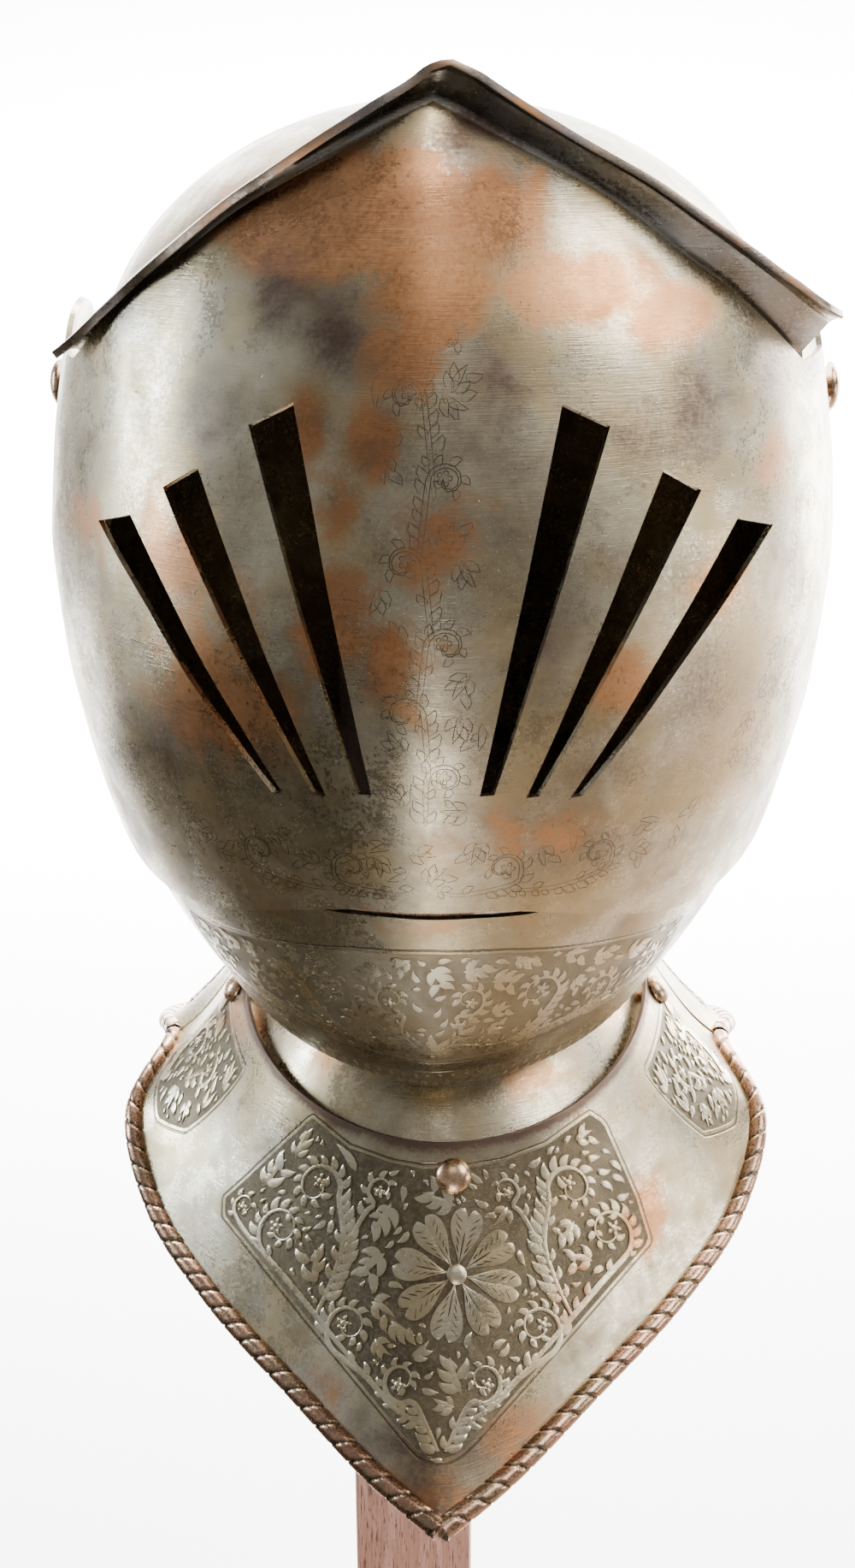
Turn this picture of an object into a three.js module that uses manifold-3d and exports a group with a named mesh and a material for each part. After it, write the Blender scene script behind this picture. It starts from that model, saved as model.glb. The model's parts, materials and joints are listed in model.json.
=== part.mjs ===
// Close helmet on a wooden stand: skull, hinged visor with slots and a brow peak, bevor, collar and roped gorget.
// Millimetres, +Z up, the face looks along -Y. The origin is the centre of the stand's underside.
// Every plate is a wall of sheet metal: a smooth surface, thickened inwards, then cut to its outline.
import * as THREE from "three";
import { mergeVertices } from "three/addons/utils/BufferGeometryUtils.js";
import Module from "manifold-3d";

// ---- driving dimensions ----
const plateThickness = 1.6;
const fitGap = 0.4; // clearance between neighbouring pieces that don't move
const pivotHeight = 526; // visor's hinge line above the table
const helmetOffset = [11, 27]; // hinge line's middle from the middle of the stand's base, in x and y

const skullTop = 77; // crown above the hinge line
const skullHalfWidth = 97;
const skullFront = 100;
const skullBack = 117;
const keelShare = 0.1; // how far the front of a section turns from an ellipse towards a prow
const keelSoftness = 0.07;

const neckTilt = Math.tan(THREE.MathUtils.degToRad(10)); // the neck opening rises to the back
const neckFront = 85;
const rimLevel = -197; // gorget's upper edge at the front, from the hinge line
const rim = { halfWidth: 64, front: 85, back: 78 };
const neckShift = 1; // collar and gorget sit a little to the right of the helmet's middle
const neckTurn = THREE.MathUtils.degToRad(1.2); // and are turned a little to the right

const ropeRadius = 3.2;
const peakThickness = 1.2;
const peakRootDepth = 7; // how far the peak reaches down behind the visor
const peakHemShare = 0.3; // share of the peak's depth that its bent-down hem takes
const peakHemBend = 24; // degrees
const peakSway = 4.5; // how far the middle of the lip is pushed to the right

const pivotPin = { radius: 3, headRadius: 7, headHeight: 3.4 };
const visorLobeRadius = 24;
const bevorLobeRadius = 17;
const gorgetRivet = { radius: 2, headRadius: 5, headHeight: 3 };

const base = { side: 190, thickness: 24, edge: 4 };
const post = { side: 42, back: 49, top: 40 }; // back: behind the base's middle; top: above the hinge line
const block = { radius: 40, height: 32, crownRadius: 66 };

const silverPlate = { color: 0x9a948a, roughness: 0.35, metalness: 1 };
const brass = { color: 0xa8794f, roughness: 0.35, metalness: 1 };
const oak = { color: 0x8a5c44, roughness: 0.7, metalness: 0 };

// ---- curves and tables ----

// A smooth function through [input, output] pairs with rising inputs. Beyond both ends it runs on straight.
function smoothTable(pairs) {
  const slopeAt = (i) => {
    const a = pairs[Math.max(i - 1, 0)];
    const b = pairs[Math.min(i + 1, pairs.length - 1)];
    return (b[1] - a[1]) / (b[0] - a[0]);
  };
  return (input) => {
    let i = 0;
    while (i < pairs.length - 2 && input > pairs[i + 1][0]) i++;
    const [x0, y0] = pairs[i];
    const [x1, y1] = pairs[i + 1];
    const step = x1 - x0;
    const t = (input - x0) / step;
    if (t < 0) return y0 + slopeAt(0) * (input - x0);
    if (t > 1) return y1 + slopeAt(pairs.length - 1) * (input - x1);
    const t2 = t * t;
    const t3 = t2 * t;
    return (
      (2 * t3 - 3 * t2 + 1) * y0 +
      (t3 - 2 * t2 + t) * step * slopeAt(i) +
      (3 * t2 - 2 * t3) * y1 +
      (t3 - t2) * step * slopeAt(i + 1)
    );
  };
}

const domeReach = (reach, power, level) =>
  reach * Math.max(1 - (level / skullTop) ** power, 0) ** (1 / power);

const smoothStep = (t) => {
  const c = THREE.MathUtils.clamp(t, 0, 1);
  return c * c * (3 - 2 * c);
};

// Evenly spaced numbers from first to last.
const spread = (first, last, count) =>
  Array.from({ length: count }, (_, i) => first + ((last - first) * i) / (count - 1));

const degrees = (list) => list.map(THREE.MathUtils.degToRad);

// ---- the helmet's surfaces: level is the height at the front, turn runs from 0 at the face to pi at the nape ----

// One horizontal section of a plate. Lower levels lean with the neck opening.
function sectionPoint(level, turn, halfWidth, front, back) {
  const c = Math.cos(turn);
  const s = Math.sin(turn);
  const soft = Math.hypot(s, keelSoftness) - keelSoftness;
  const prow = 1 - soft / (Math.hypot(1, keelSoftness) - keelSoftness);
  const y = c > 0 ? -front * ((1 - keelShare) * c + keelShare * prow) : -back * c;
  const lean = smoothStep((-120 - level) / 57) * neckTilt;
  return new THREE.Vector3(halfWidth * s, y, level + lean * (y + neckFront));
}

const skullLowerHalfWidth = smoothTable([
  [-188, 55], [-183, 62.4], [-177, 67.4], [-170, 71.4], [-145, 82.8], [-121, 91.3],
  [-97, 97.3], [-77, 101.3], [-60, 102.8], [-45, 102.4], [-30, 100.2], [-17, 98], [0, 97],
]);
const skullLowerFront = smoothTable([[-188, 70], [-145, 102], [-77, 118], [-30, 110], [0, 100]]);
const skullLowerBack = smoothTable([
  [-188, 63], [-183, 69], [-177, 74], [-168, 78], [-150, 84], [-125, 94], [-90, 107],
  [-50, 116], [-20, 118], [0, 117],
]);

function skullPoint(level, turn) {
  if (level > 0) {
    const halfWidth = domeReach(skullHalfWidth, 2, level);
    const front = domeReach(skullFront, 2.6, level);
    const back = domeReach(skullBack, 2.3, level);
    return sectionPoint(level, turn, halfWidth, front, back);
  }
  const [halfWidth, front, back] = [skullLowerHalfWidth, skullLowerFront, skullLowerBack]
    .map((table) => table(level));
  return sectionPoint(level, turn, halfWidth, front, back);
}

const bevorHalfWidth = smoothTable([
  [-188, 58], [-183, 65.4], [-177, 70.4], [-170, 74.4], [-145, 85.8], [-121, 94.3],
  [-97, 100.3], [-77, 104.3], [-60, 105.8], [-45, 105.4], [-30, 103.4], [-17, 101.8], [0, 101], [20, 100],
]);
const bevorFront = smoothTable([
  [-188, 72.5], [-183, 79.5], [-177, 85], [-168, 91.5], [-158, 98.5], [-145, 105.5],
  [-130, 112], [-112, 117.5], [-100, 119], [-77, 121], [0, 118],
]);
function bevorPoint(level, turn) {
  const back = skullLowerBack(Math.min(level, 0)) + 3;
  return sectionPoint(level, turn, bevorHalfWidth(level), bevorFront(level), back);
}

const visorHalfWidth = smoothTable([
  [-140, 90.8], [-121, 98.4], [-97, 104.8], [-77, 108.8], [-57, 111.1], [-37, 112], [-15, 110.2],
  [0, 108], [12, 105.8], [24, 102.4], [40, 92.4], [53, 78.5], [65, 59], [74, 34], [77, 22],
]);
const visorFront = smoothTable([
  [-140, 109], [-121, 116.8], [-110, 120.9], [-88, 127.5], [-58, 130], [-28, 127], [2, 119.5],
  [30, 108.5], [53, 93.5], [65, 82.5], [74, 72], [77, 67],
]);
const visorBack = 150;
const visorPoint = (level, turn) =>
  sectionPoint(level, turn, visorHalfWidth(level), visorFront(level), visorBack);

// ---- solids ----
const wasm = await Module();
wasm.setup();

// A closed geometry as a solid that can be joined and cut.
function solidOf(geometry) {
  const bare = geometry.index ? geometry.toNonIndexed() : geometry.clone();
  bare.deleteAttribute("normal");
  bare.deleteAttribute("uv");
  const merged = mergeVertices(bare, 1e-4);
  const corners = merged.index.array;
  const kept = [];
  for (let i = 0; i < corners.length; i += 3) {
    const [a, b, c] = [corners[i], corners[i + 1], corners[i + 2]];
    if (a !== b && b !== c && c !== a) kept.push(a, b, c);
  }
  return new wasm.Manifold(
    new wasm.Mesh({
      numProp: 3,
      vertProperties: merged.attributes.position.array,
      triVerts: new Uint32Array(kept),
    }),
  );
}

function geometryOf(solid) {
  const mesh = solid.getMesh();
  const geometry = new THREE.BufferGeometry();
  geometry.setAttribute("position", new THREE.BufferAttribute(mesh.vertProperties, 3));
  geometry.setIndex(new THREE.BufferAttribute(mesh.triVerts, 1));
  geometry.computeVertexNormals();
  return geometry;
}

// Outward normals of a grid of points from its neighbours. A ring's columns wrap round.
function gridNormals(rows, ring) {
  const columns = rows[0].length;
  return rows.map((row, i) =>
    row.map((_, j) => {
      const up = rows[Math.min(i + 1, rows.length - 1)][j];
      const down = rows[Math.max(i - 1, 0)][j];
      const right = ring ? row[(j + 1) % columns] : row[Math.min(j + 1, columns - 1)];
      const left = ring ? row[(j + columns - 1) % columns] : row[Math.max(j - 1, 0)];
      const across = right.clone().sub(left);
      const along = up.clone().sub(down);
      return across.cross(along).normalize();
    }),
  );
}

// A wall: rows of points, bottom row first, columns anticlockwise seen from above, thickened inwards.
// A ring closes on itself. A closed top is a last row whose points are all one.
function wall(rows, { thickness = plateThickness, ring = false, closedTop = false, inset = 0 } = {}) {
  const normals = gridNormals(rows, ring);
  if (closedTop) normals.push(normals.pop().map(() => new THREE.Vector3(0, 0, 1)));
  const shifted = (depth) =>
    rows.map((row, i) => row.map((p, j) => p.clone().addScaledVector(normals[i][j], -depth)));
  const outer = shifted(inset);
  const inner = shifted(inset + thickness);
  const points = [];
  const quad = (a, b, c, d) => points.push(a, b, c, a, c, d);
  const last = rows.length - 1;
  const columns = rows[0].length;
  const spans = ring ? columns : columns - 1;
  for (let j = 0; j < spans; j++) {
    const k = (j + 1) % columns;
    for (let i = 0; i < last; i++) {
      quad(outer[i][j], outer[i][k], outer[i + 1][k], outer[i + 1][j]);
      quad(inner[i][j], inner[i + 1][j], inner[i + 1][k], inner[i][k]);
    }
    quad(outer[0][j], inner[0][j], inner[0][k], outer[0][k]);
    quad(outer[last][j], outer[last][k], inner[last][k], inner[last][j]);
  }
  if (!ring) {
    for (let i = 0; i < last; i++) {
      quad(outer[i][0], outer[i + 1][0], inner[i + 1][0], inner[i][0]);
      const end = columns - 1;
      quad(outer[i][end], inner[i][end], inner[i + 1][end], outer[i + 1][end]);
    }
  }
  return solidOf(new THREE.BufferGeometry().setFromPoints(points));
}

const surfaceRows = (pointAt, levels, turns) =>
  levels.map((level) => turns.map((turn) => pointAt(level, turn)));

// Prisms from an outline: seen from the side it is drawn in (y, z), seen from the front in (x, z).
const fromSide = new THREE.Matrix4().set(0, 0, 1, 0, 1, 0, 0, 0, 0, 1, 0, 0, 0, 0, 0, 1);
const fromFront = new THREE.Matrix4().set(1, 0, 0, 0, 0, 0, -1, 0, 0, 1, 0, 0, 0, 0, 0, 1);

function prism(shape, placement, start, depth, curveSegments = 16) {
  const geometry = new THREE.ExtrudeGeometry(shape, { depth, bevelEnabled: false, curveSegments });
  geometry.translate(0, 0, start);
  return solidOf(geometry.applyMatrix4(placement));
}

const sidePrism = (shape) => prism(shape, fromSide, -200, 400);

function outline(points) {
  return new THREE.Shape(points.map(([x, y]) => new THREE.Vector2(x, y)));
}

// Points of a circle round the hinge line, in degrees.
const lobe = (radius, first, last, count = 14) =>
  degrees(spread(first, last, count)).map((a) => [radius * Math.cos(a), radius * Math.sin(a)]);

// Points along a smooth curve through a few given ones.
const curved = (points, count) =>
  new THREE.SplineCurve(points.map(([x, y]) => new THREE.Vector2(x, y)))
    .getPoints(count)
    .map((p) => [p.x, p.y]);

const hingeHole = sidePrism(
  new THREE.Shape().absarc(0, 0, pivotPin.radius + fitGap, 0, Math.PI * 2),
);

// ---- skull: crown and nape, open at the face ----
function makeSkull() {
  const lower = [-188, -182, -172, -150, -122, -92, -60, -28];
  const upper = degrees(spread(0, 82, 7)).map((a) => skullTop * Math.sin(a));
  const turns = spread(-Math.PI, Math.PI, 37).slice(0, -1);
  const rows = surfaceRows(skullPoint, [...lower, ...upper], turns);
  const tip = new THREE.Vector3(0, 0, skullTop);
  rows.push(turns.map(() => tip.clone()));
  const shell = wall(rows, { ring: true, closedTop: true });
  const faceOpening = sidePrism(
    outline([
      [-200, 30],
      ...curved([[-99, 30], [-72, 22], [-53, 4], [-45, -30], [-42, -90], [-34, -140], [-24, -180]], 16),
      [-20, -230],
      [-200, -230],
    ]),
  );
  return shell.subtract(faceOpening).subtract(hingeHole);
}

// ---- bevor: chin and cheeks, with an arm up to each hinge pin ----
const bevorEdge = [
  [-121, -101], [-98, -112], [-78, -118], [-59, -113], [-52, -92], [-45, -60], [-32, -30], [-17, -10],
]; // upper edge seen from the side, from the chin to the hinge

function makeBevor() {
  const levels = [-188, -183, -176, -165, -149, -130, -109, -87, -60, -32, -6, 20];
  const rows = surfaceRows(bevorPoint, levels, degrees(spread(-104, 104, 31)));
  const profile = outline([
    [-160, -230],
    [-160, -101],
    ...curved(bevorEdge, 14),
    ...lobe(bevorLobeRadius, 168, -8),
    ...curved([[18, -30], [19, -90], [20, -150], [21, -230]], 4),
  ]);
  return wall(rows).intersect(sidePrism(profile)).subtract(hingeHole);
}

// ---- visor: one plate from brow to mouth, with six tapering slots and round lobes at the hinge ----

// Each slot's centre line in front view, its width at both ends, and the slope of its top edge.
const slots = [
  { top: [36, 7], bottom: [14.4, -78.5], topWidth: 11, bottomWidth: 3.4, slope: 0.5 },
  { top: [59.4, -9.2], bottom: [25.2, -80], topWidth: 8.8, bottomWidth: 3, slope: 0.62 },
  { top: [80.2, -22.5], bottom: [35.6, -81.5], topWidth: 7.6, bottomWidth: 2.9, slope: 0.34 },
];

function slotPrism({ top, bottom, topWidth, bottomWidth, slope }, side) {
  const corners = [
    [bottom[0] - bottomWidth / 2, bottom[1]],
    [bottom[0] + bottomWidth / 2, bottom[1]],
    [top[0] + topWidth / 2, top[1] - (slope * topWidth) / 2],
    [top[0] - topWidth / 2, top[1] + (slope * topWidth) / 2],
  ].map(([x, z]) => [side * x, z]);
  if (side < 0) corners.reverse();
  return prism(outline(corners), fromFront, 20, 160);
}

// The height of the upper edge in front view, from the middle outwards.
const browHeight = smoothTable([[0, 74], [41, 53], [61, 39.5], [74.5, 30], [95, 11.8]]);

const visorRows = surfaceRows(
  visorPoint,
  [-136, -118, -100, -80, -58, -36, -14, 6, 24, 40, 54, 66, 76],
  degrees(spread(-102, 102, 31)),
);

// Everything below the brow edge, seen from the front.
function underBrow(raise) {
  const brow = spread(0, 95, 14).map((x) => [x, browHeight(x) + raise]);
  const right = [...brow, [95.5, 27], [130, 27], [130, -160]];
  const mirrored = right.slice(1).reverse().map(([x, z]) => [-x, z]);
  return prism(outline([...right, ...mirrored].reverse()), fromFront, -60, 260);
}

const visorEdge = [
  [-121, -110], [-98, -121], [-78, -127], [-56, -127], [-43, -119], [-41, -88], [-34, -52], [-22, -20],
]; // lower edge seen from the side, from the mouth to the hinge

function makeVisor() {
  const profile = outline([
    [-160, -110],
    ...curved(visorEdge, 16),
    ...lobe(visorLobeRadius, -142, 145, 28),
    [-48, 12.5],
    [-48, 110],
    [-160, 110],
  ]);
  const plate = wall(visorRows)
    .intersect(sidePrism(profile))
    .intersect(underBrow(0))
    .subtract(hingeHole);
  return slots
    .flatMap((slot) => [slotPrism(slot, 1), slotPrism(slot, -1)])
    .reduce((solid, cut) => solid.subtract(cut), plate);
}

// ---- brow peak: a flange that rises behind the visor's upper edge and turns out over it ----

// The flange's lean up from square to the visor in degrees, and its depth, from the left end to the right.
const peakLean = smoothTable([
  [-1, -25], [-0.83, -46], [-0.5, -48], [-0.33, -45], [-0.17, -39], [0, -24], [0.17, -24], [0.33, -26],
  [0.5, -21], [0.67, -15], [0.83, -6], [1, 40],
]);
const peakDepth = smoothTable([[-1, 8], [-0.8, 12], [-0.4, 15], [0.8, 15], [1, 16]]);

// The point of the visor's surface at a place in front view.
function visorAt(x, z) {
  const turn = Math.asin(THREE.MathUtils.clamp(x / visorHalfWidth(z), -1, 1));
  return visorPoint(z, turn);
}

// Directions at the visor's surface: out of the plate, along the brow to the right, and up across it.
function browFrame(x, z) {
  const step = 0.5;
  const reach = Math.max(Math.abs(x), 2 * step);
  const slope = (Math.sign(x) * (browHeight(reach + step) - browHeight(reach - step))) / (2 * step);
  const along = visorAt(x + step, z + slope * step).sub(visorAt(x - step, z - slope * step)).normalize();
  const rise = visorAt(x, z + step).sub(visorAt(x, z - step));
  const out = along.clone().cross(rise).normalize();
  return { out, along, up: out.clone().cross(along).normalize() };
}

function makePeak() {
  const ends = 93;
  const inset = plateThickness + fitGap;
  const leaning = ({ out, up }, angle) => {
    const lean = THREE.MathUtils.degToRad(angle);
    return out.clone().multiplyScalar(Math.cos(lean)).addScaledVector(up, Math.sin(lean));
  };
  const lines = spread(-1, 1, 27).map((place) => {
    const x = place * ends;
    const z = browHeight(Math.abs(x));
    const frame = browFrame(x, z);
    const { out, along, up } = frame;
    const rise = fitGap + 0.2 + (inset * Math.max(out.z, 0)) / up.z; // over the visor's level-cut edge
    const top = visorAt(x, z).addScaledVector(up, rise);
    const lowest = visorAt(x, z - peakRootDepth);
    const root = lowest.addScaledVector(browFrame(x, z - peakRootDepth).out, -inset);
    const edge = top.clone().addScaledVector(out, -inset);
    const bend = top.clone().addScaledVector(out, fitGap).addScaledVector(up, 0.5);
    const slant = along.multiplyScalar(peakSway * (1 - place * place) ** 4 - 3 * place ** 9);
    const reach = peakDepth(place);
    const crease = bend.clone().addScaledVector(leaning(frame, peakLean(place)), reach * (1 - peakHemShare));
    crease.addScaledVector(slant, 0.7);
    const lip = crease.clone().addScaledVector(leaning(frame, peakLean(place) - peakHemBend), reach * peakHemShare);
    lip.addScaledVector(slant, 0.3);
    return [root, edge, bend, crease, lip];
  });
  const rows = [0, 1, 2, 3, 4].map((row) => lines.map((line) => line[row]));
  const roomForVisor = wall(visorRows, { thickness: plateThickness + 2 * fitGap, inset: -fitGap });
  return wall(rows, { thickness: peakThickness }).subtract(roomForVisor.intersect(underBrow(fitGap)));
}

// ---- neck collar: a hollow-waisted ring between the helmet and the gorget ----

// A ring round the neck, height counted from the plane of the gorget's upper edge.
function neckPoint(height, turn, halfWidth, front, back) {
  const c = Math.cos(turn);
  const y = c > 0 ? -front * c : -back * c;
  return new THREE.Vector3(halfWidth * Math.sin(turn), y, rimLevel + (y + neckFront) * neckTilt + height);
}

// The ring's profile from its flared foot up: height, half-width, front and back.
const collarProfile = [
  [-10, 65.2, 86.4, 79], [-4, 60.8, 81.4, 74.4], [2, 55.6, 75.4, 68.4], [8, 51, 69.2, 60], [14, 51, 69.2, 60],
];

function makeCollar() {
  const turns = spread(-Math.PI, Math.PI, 37).slice(0, -1);
  const rows = collarProfile.map(([height, halfWidth, front, back]) =>
    turns.map((turn) => neckPoint(height, turn, halfWidth, front, back)),
  );
  return wall(rows, { ring: true });
}

// ---- gorget: two flared plates with a roped edge ----

// Half of the outer edge from the front point over the shoulder to the back point.
const borderPoints = [
  [0, -148, -275], [18.5, -131.5, -270.5], [40.5, -108, -263.5], [68, -77, -255], [89.5, -47, -244],
  [99.5, -20, -226], [91, 8, -215], [97, 34, -221], [88, 70, -235], [50, 106, -248], [0, 128, -256],
].map((p) => new THREE.Vector3(...p));
const borderCurve = new THREE.CatmullRomCurve3(borderPoints, false, "centripetal");
const shoulderTurn = 0.545; // share of the half border, and of the half rim, that belongs to the front plate
const gorgetGap = 0.0025; // share of the half border left open at each shoulder

// A point of the gorget: share runs from 0 at the front over the right shoulder to 1 at the back, and on to 2.
function gorgetPoint(share, down) {
  const wrapped = share > 1 ? share - 2 : share;
  const t = Math.abs(wrapped);
  const upper = neckPoint(0, t * Math.PI, rim.halfWidth, rim.front, rim.back);
  const point = upper.lerp(borderCurve.getPointAt(t), down);
  point.z -= 3 * Math.sin(Math.PI * down);
  point.x *= Math.sign(wrapped) || 1;
  return point;
}

// A round bar along the border, joined to the plate's outer edge.
function ropeBar(first, last, steps) {
  const points = spread(first, last, steps + 1).map((share) => gorgetPoint(share, 1));
  const section = new THREE.Shape().absarc(0, 0, ropeRadius, 0, Math.PI * 2);
  const geometry = new THREE.ExtrudeGeometry(section, {
    steps,
    curveSegments: 4,
    extrudePath: new THREE.CatmullRomCurve3(points, false, "centripetal"),
  });
  return solidOf(geometry);
}

const gorgetRivets = {
  gorget_rivet_front: 0.014,
  gorget_rivet_right: 0.47,
  gorget_rivet_back: 1,
  gorget_rivet_left: 1.53,
};
const rivetDown = 0.09; // a rivet's place between the gorget's upper edge and its border

// Turns +Y to the direction out of the gorget at a rivet, and moves there.
function rivetPlacement(share) {
  const step = 0.01;
  const run = gorgetPoint(share + step, rivetDown).sub(gorgetPoint(share - step, rivetDown));
  const up = gorgetPoint(share, rivetDown - 0.05).sub(gorgetPoint(share, rivetDown + 0.05));
  const out = run.cross(up).normalize();
  const turn = new THREE.Quaternion().setFromUnitVectors(new THREE.Vector3(0, 1, 0), out);
  return new THREE.Matrix4().compose(gorgetPoint(share, rivetDown), turn, new THREE.Vector3(1, 1, 1));
}

const rivetHoles = Object.values(gorgetRivets).map((share) => {
  const radius = gorgetRivet.radius + fitGap;
  return solidOf(new THREE.CylinderGeometry(radius, radius, 24, 12).applyMatrix4(rivetPlacement(share)));
});
const drilled = (solid) => rivetHoles.reduce((kept, hole) => kept.subtract(hole), solid);

// A plate from one shoulder to the other, with its roped border in two lengths that meet at a point.
function makeGorget(first, middle, last, columns, steps) {
  const shares = spread(first, last, columns);
  const rows = spread(1, 0, 5).map((down) => shares.map((share) => gorgetPoint(share, down)));
  return drilled(wall(rows).add(ropeBar(first, middle, steps)).add(ropeBar(middle, last, steps)));
}

// ---- pins and rivets ----

// A domed head over a shank, axis +Y, the head's underside at height 0. A clenched end is wider than the shank.
function rivetGeometry({ radius, headRadius, headHeight }, shank, clench) {
  const profile = [[0, -shank - clench], [clench ? headRadius * 0.7 : radius, -shank - clench]];
  if (clench) profile.push([headRadius * 0.7, -shank], [radius, -shank]);
  profile.push([radius, 0]);
  for (const a of degrees(spread(0, 75, 5))) {
    profile.push([headRadius * Math.cos(a), headHeight * Math.sin(a)]);
  }
  profile.push([0, headHeight]);
  return new THREE.LatheGeometry(profile.map(([x, y]) => new THREE.Vector2(x, y)), 16);
}

// A hinge pin lies along X: its head outside the visor's lobe, its clenched end inside the skull.
function hingePinGeometry(side) {
  const headFace = visorHalfWidth(-pivotPin.headRadius) + fitGap;
  const clenchFace = skullHalfWidth - plateThickness - 3 * fitGap;
  const geometry = rivetGeometry(pivotPin, headFace - clenchFace, 1.2);
  return geometry.rotateZ((-side * Math.PI) / 2).translate(side * headFace, 0, 0);
}

// ---- stand: a square post on a base board, with a domed block under the crown ----

function makeBlock() {
  const { radius, height, crownRadius } = block;
  const widest = Math.asin(radius / crownRadius);
  const profile = [[0, 0], [radius, 0]];
  for (const a of spread(widest, 0, 7)) {
    profile.push([crownRadius * Math.sin(a), height - crownRadius * (1 - Math.cos(a))]);
  }
  profile[profile.length - 1][0] = 0;
  return new THREE.LatheGeometry(profile.map(([x, y]) => new THREE.Vector2(x, y)), 28).rotateX(Math.PI / 2);
}

function makeBase() {
  const { side, thickness, edge } = base;
  const half = side / 2 - edge;
  const square = outline([[-half, -half], [half, -half], [half, half], [-half, half]]);
  const geometry = new THREE.ExtrudeGeometry(square, {
    depth: thickness - 2 * edge,
    bevelThickness: edge,
    bevelSize: edge,
    bevelSegments: 3,
  });
  return geometry.translate(0, 0, edge);
}

// ---- the assembly ----
const stand = new THREE.Group();
const helmet = new THREE.Group();
helmet.position.set(helmetOffset[0], helmetOffset[1], pivotHeight);
stand.add(helmet);
const neck = new THREE.Group();
neck.position.x = neckShift;
neck.rotation.z = neckTurn;
helmet.add(neck);

function addPiece(group, name, geometry, look) {
  const mesh = new THREE.Mesh(geometry, new THREE.MeshStandardMaterial(look));
  mesh.name = name;
  group.add(mesh);
  return mesh;
}

addPiece(helmet, "skull", geometryOf(makeSkull()), silverPlate);
addPiece(helmet, "bevor", geometryOf(makeBevor()), silverPlate);
addPiece(helmet, "visor", geometryOf(makeVisor()), silverPlate);
addPiece(helmet, "brow_peak", geometryOf(makePeak()), silverPlate);
addPiece(helmet, "hinge_pin_right", hingePinGeometry(1), brass);
addPiece(helmet, "hinge_pin_left", hingePinGeometry(-1), brass);
addPiece(neck, "neck_collar", geometryOf(drilled(makeCollar())), silverPlate);

const [seamFront, seamBack] = [shoulderTurn - gorgetGap, shoulderTurn + gorgetGap];
addPiece(neck, "gorget_front", geometryOf(makeGorget(-seamFront, 0, seamFront, 33, 15)), silverPlate);
addPiece(neck, "gorget_back", geometryOf(makeGorget(seamBack, 1, 2 - seamBack, 27, 13)), silverPlate);

for (const [name, share] of Object.entries(gorgetRivets)) {
  const raised = rivetGeometry(gorgetRivet, 9, 0).translate(0, fitGap, 0);
  addPiece(neck, name, raised.applyMatrix4(rivetPlacement(share)), brass);
}

const postLength = pivotHeight + post.top - base.thickness - fitGap;
const postPiece = addPiece(stand, "stand_post", new THREE.BoxGeometry(post.side, post.side, postLength), oak);
postPiece.position.set(0, post.back, base.thickness + fitGap + postLength / 2);
addPiece(stand, "stand_base", makeBase(), oak);
const blockPiece = addPiece(stand, "stand_head_block", makeBlock(), oak);
blockPiece.position.set(0, post.back, pivotHeight + post.top + fitGap);

export default stand;
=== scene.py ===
# Close helmet with gorget on an oak stand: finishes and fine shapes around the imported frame
import json
import math

import bmesh
import bpy
import numpy as np
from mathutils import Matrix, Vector
from mathutils.bvhtree import BVHTree
from mathutils.geometry import delaunay_2d_cdt
from mathutils.kdtree import KDTree


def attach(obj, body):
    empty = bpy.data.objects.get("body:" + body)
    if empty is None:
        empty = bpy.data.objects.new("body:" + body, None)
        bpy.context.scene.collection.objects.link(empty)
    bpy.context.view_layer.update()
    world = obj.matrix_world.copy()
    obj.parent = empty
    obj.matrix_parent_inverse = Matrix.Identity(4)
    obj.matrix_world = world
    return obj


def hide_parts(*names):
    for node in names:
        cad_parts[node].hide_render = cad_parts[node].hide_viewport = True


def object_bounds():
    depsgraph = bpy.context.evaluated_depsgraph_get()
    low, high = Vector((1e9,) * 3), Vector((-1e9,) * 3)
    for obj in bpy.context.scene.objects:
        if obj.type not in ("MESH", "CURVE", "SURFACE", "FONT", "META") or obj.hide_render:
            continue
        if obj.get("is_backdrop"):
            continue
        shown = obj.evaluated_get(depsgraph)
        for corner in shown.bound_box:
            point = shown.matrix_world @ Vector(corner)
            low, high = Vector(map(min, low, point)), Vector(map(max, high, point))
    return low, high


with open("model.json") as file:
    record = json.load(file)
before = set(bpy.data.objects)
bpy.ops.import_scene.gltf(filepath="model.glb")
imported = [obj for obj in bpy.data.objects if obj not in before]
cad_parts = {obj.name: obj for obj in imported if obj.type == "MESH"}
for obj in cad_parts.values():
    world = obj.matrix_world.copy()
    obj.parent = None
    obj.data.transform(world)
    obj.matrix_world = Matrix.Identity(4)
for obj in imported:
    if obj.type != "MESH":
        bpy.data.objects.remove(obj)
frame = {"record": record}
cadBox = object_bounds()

mm = 0.001
hinge = np.array(frame["record"]["behaviour"]["joints"][0]["pos_m"])  # middle of the visor's hinge line


def smoothTable(pairs):
    # smooth curve through (input, output) pairs, straight beyond both ends
    xs, ys = np.array(pairs, float).T
    order = np.arange(len(xs))
    before, after = np.maximum(order - 1, 0), np.minimum(order + 1, len(xs) - 1)
    slopes = (ys[after] - ys[before]) / (xs[after] - xs[before])

    def at(value):
        value = np.asarray(value, float)
        i = np.clip(np.searchsorted(xs, value) - 1, 0, len(xs) - 2)
        step = xs[i + 1] - xs[i]
        t = (value - xs[i]) / step
        c = np.clip(t, 0, 1)
        rising = 3 * c**2 - 2 * c**3
        bends = (c**3 - 2 * c**2 + c) * slopes[i] + (c**3 - c**2) * slopes[i + 1]
        beyond = np.where(t > 1, (t - 1) * slopes[-1], np.where(t < 0, t * slopes[0], 0))
        return ys[i] * (1 - rising) + ys[i + 1] * rising + step * (bends + beyond)

    return at


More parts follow.
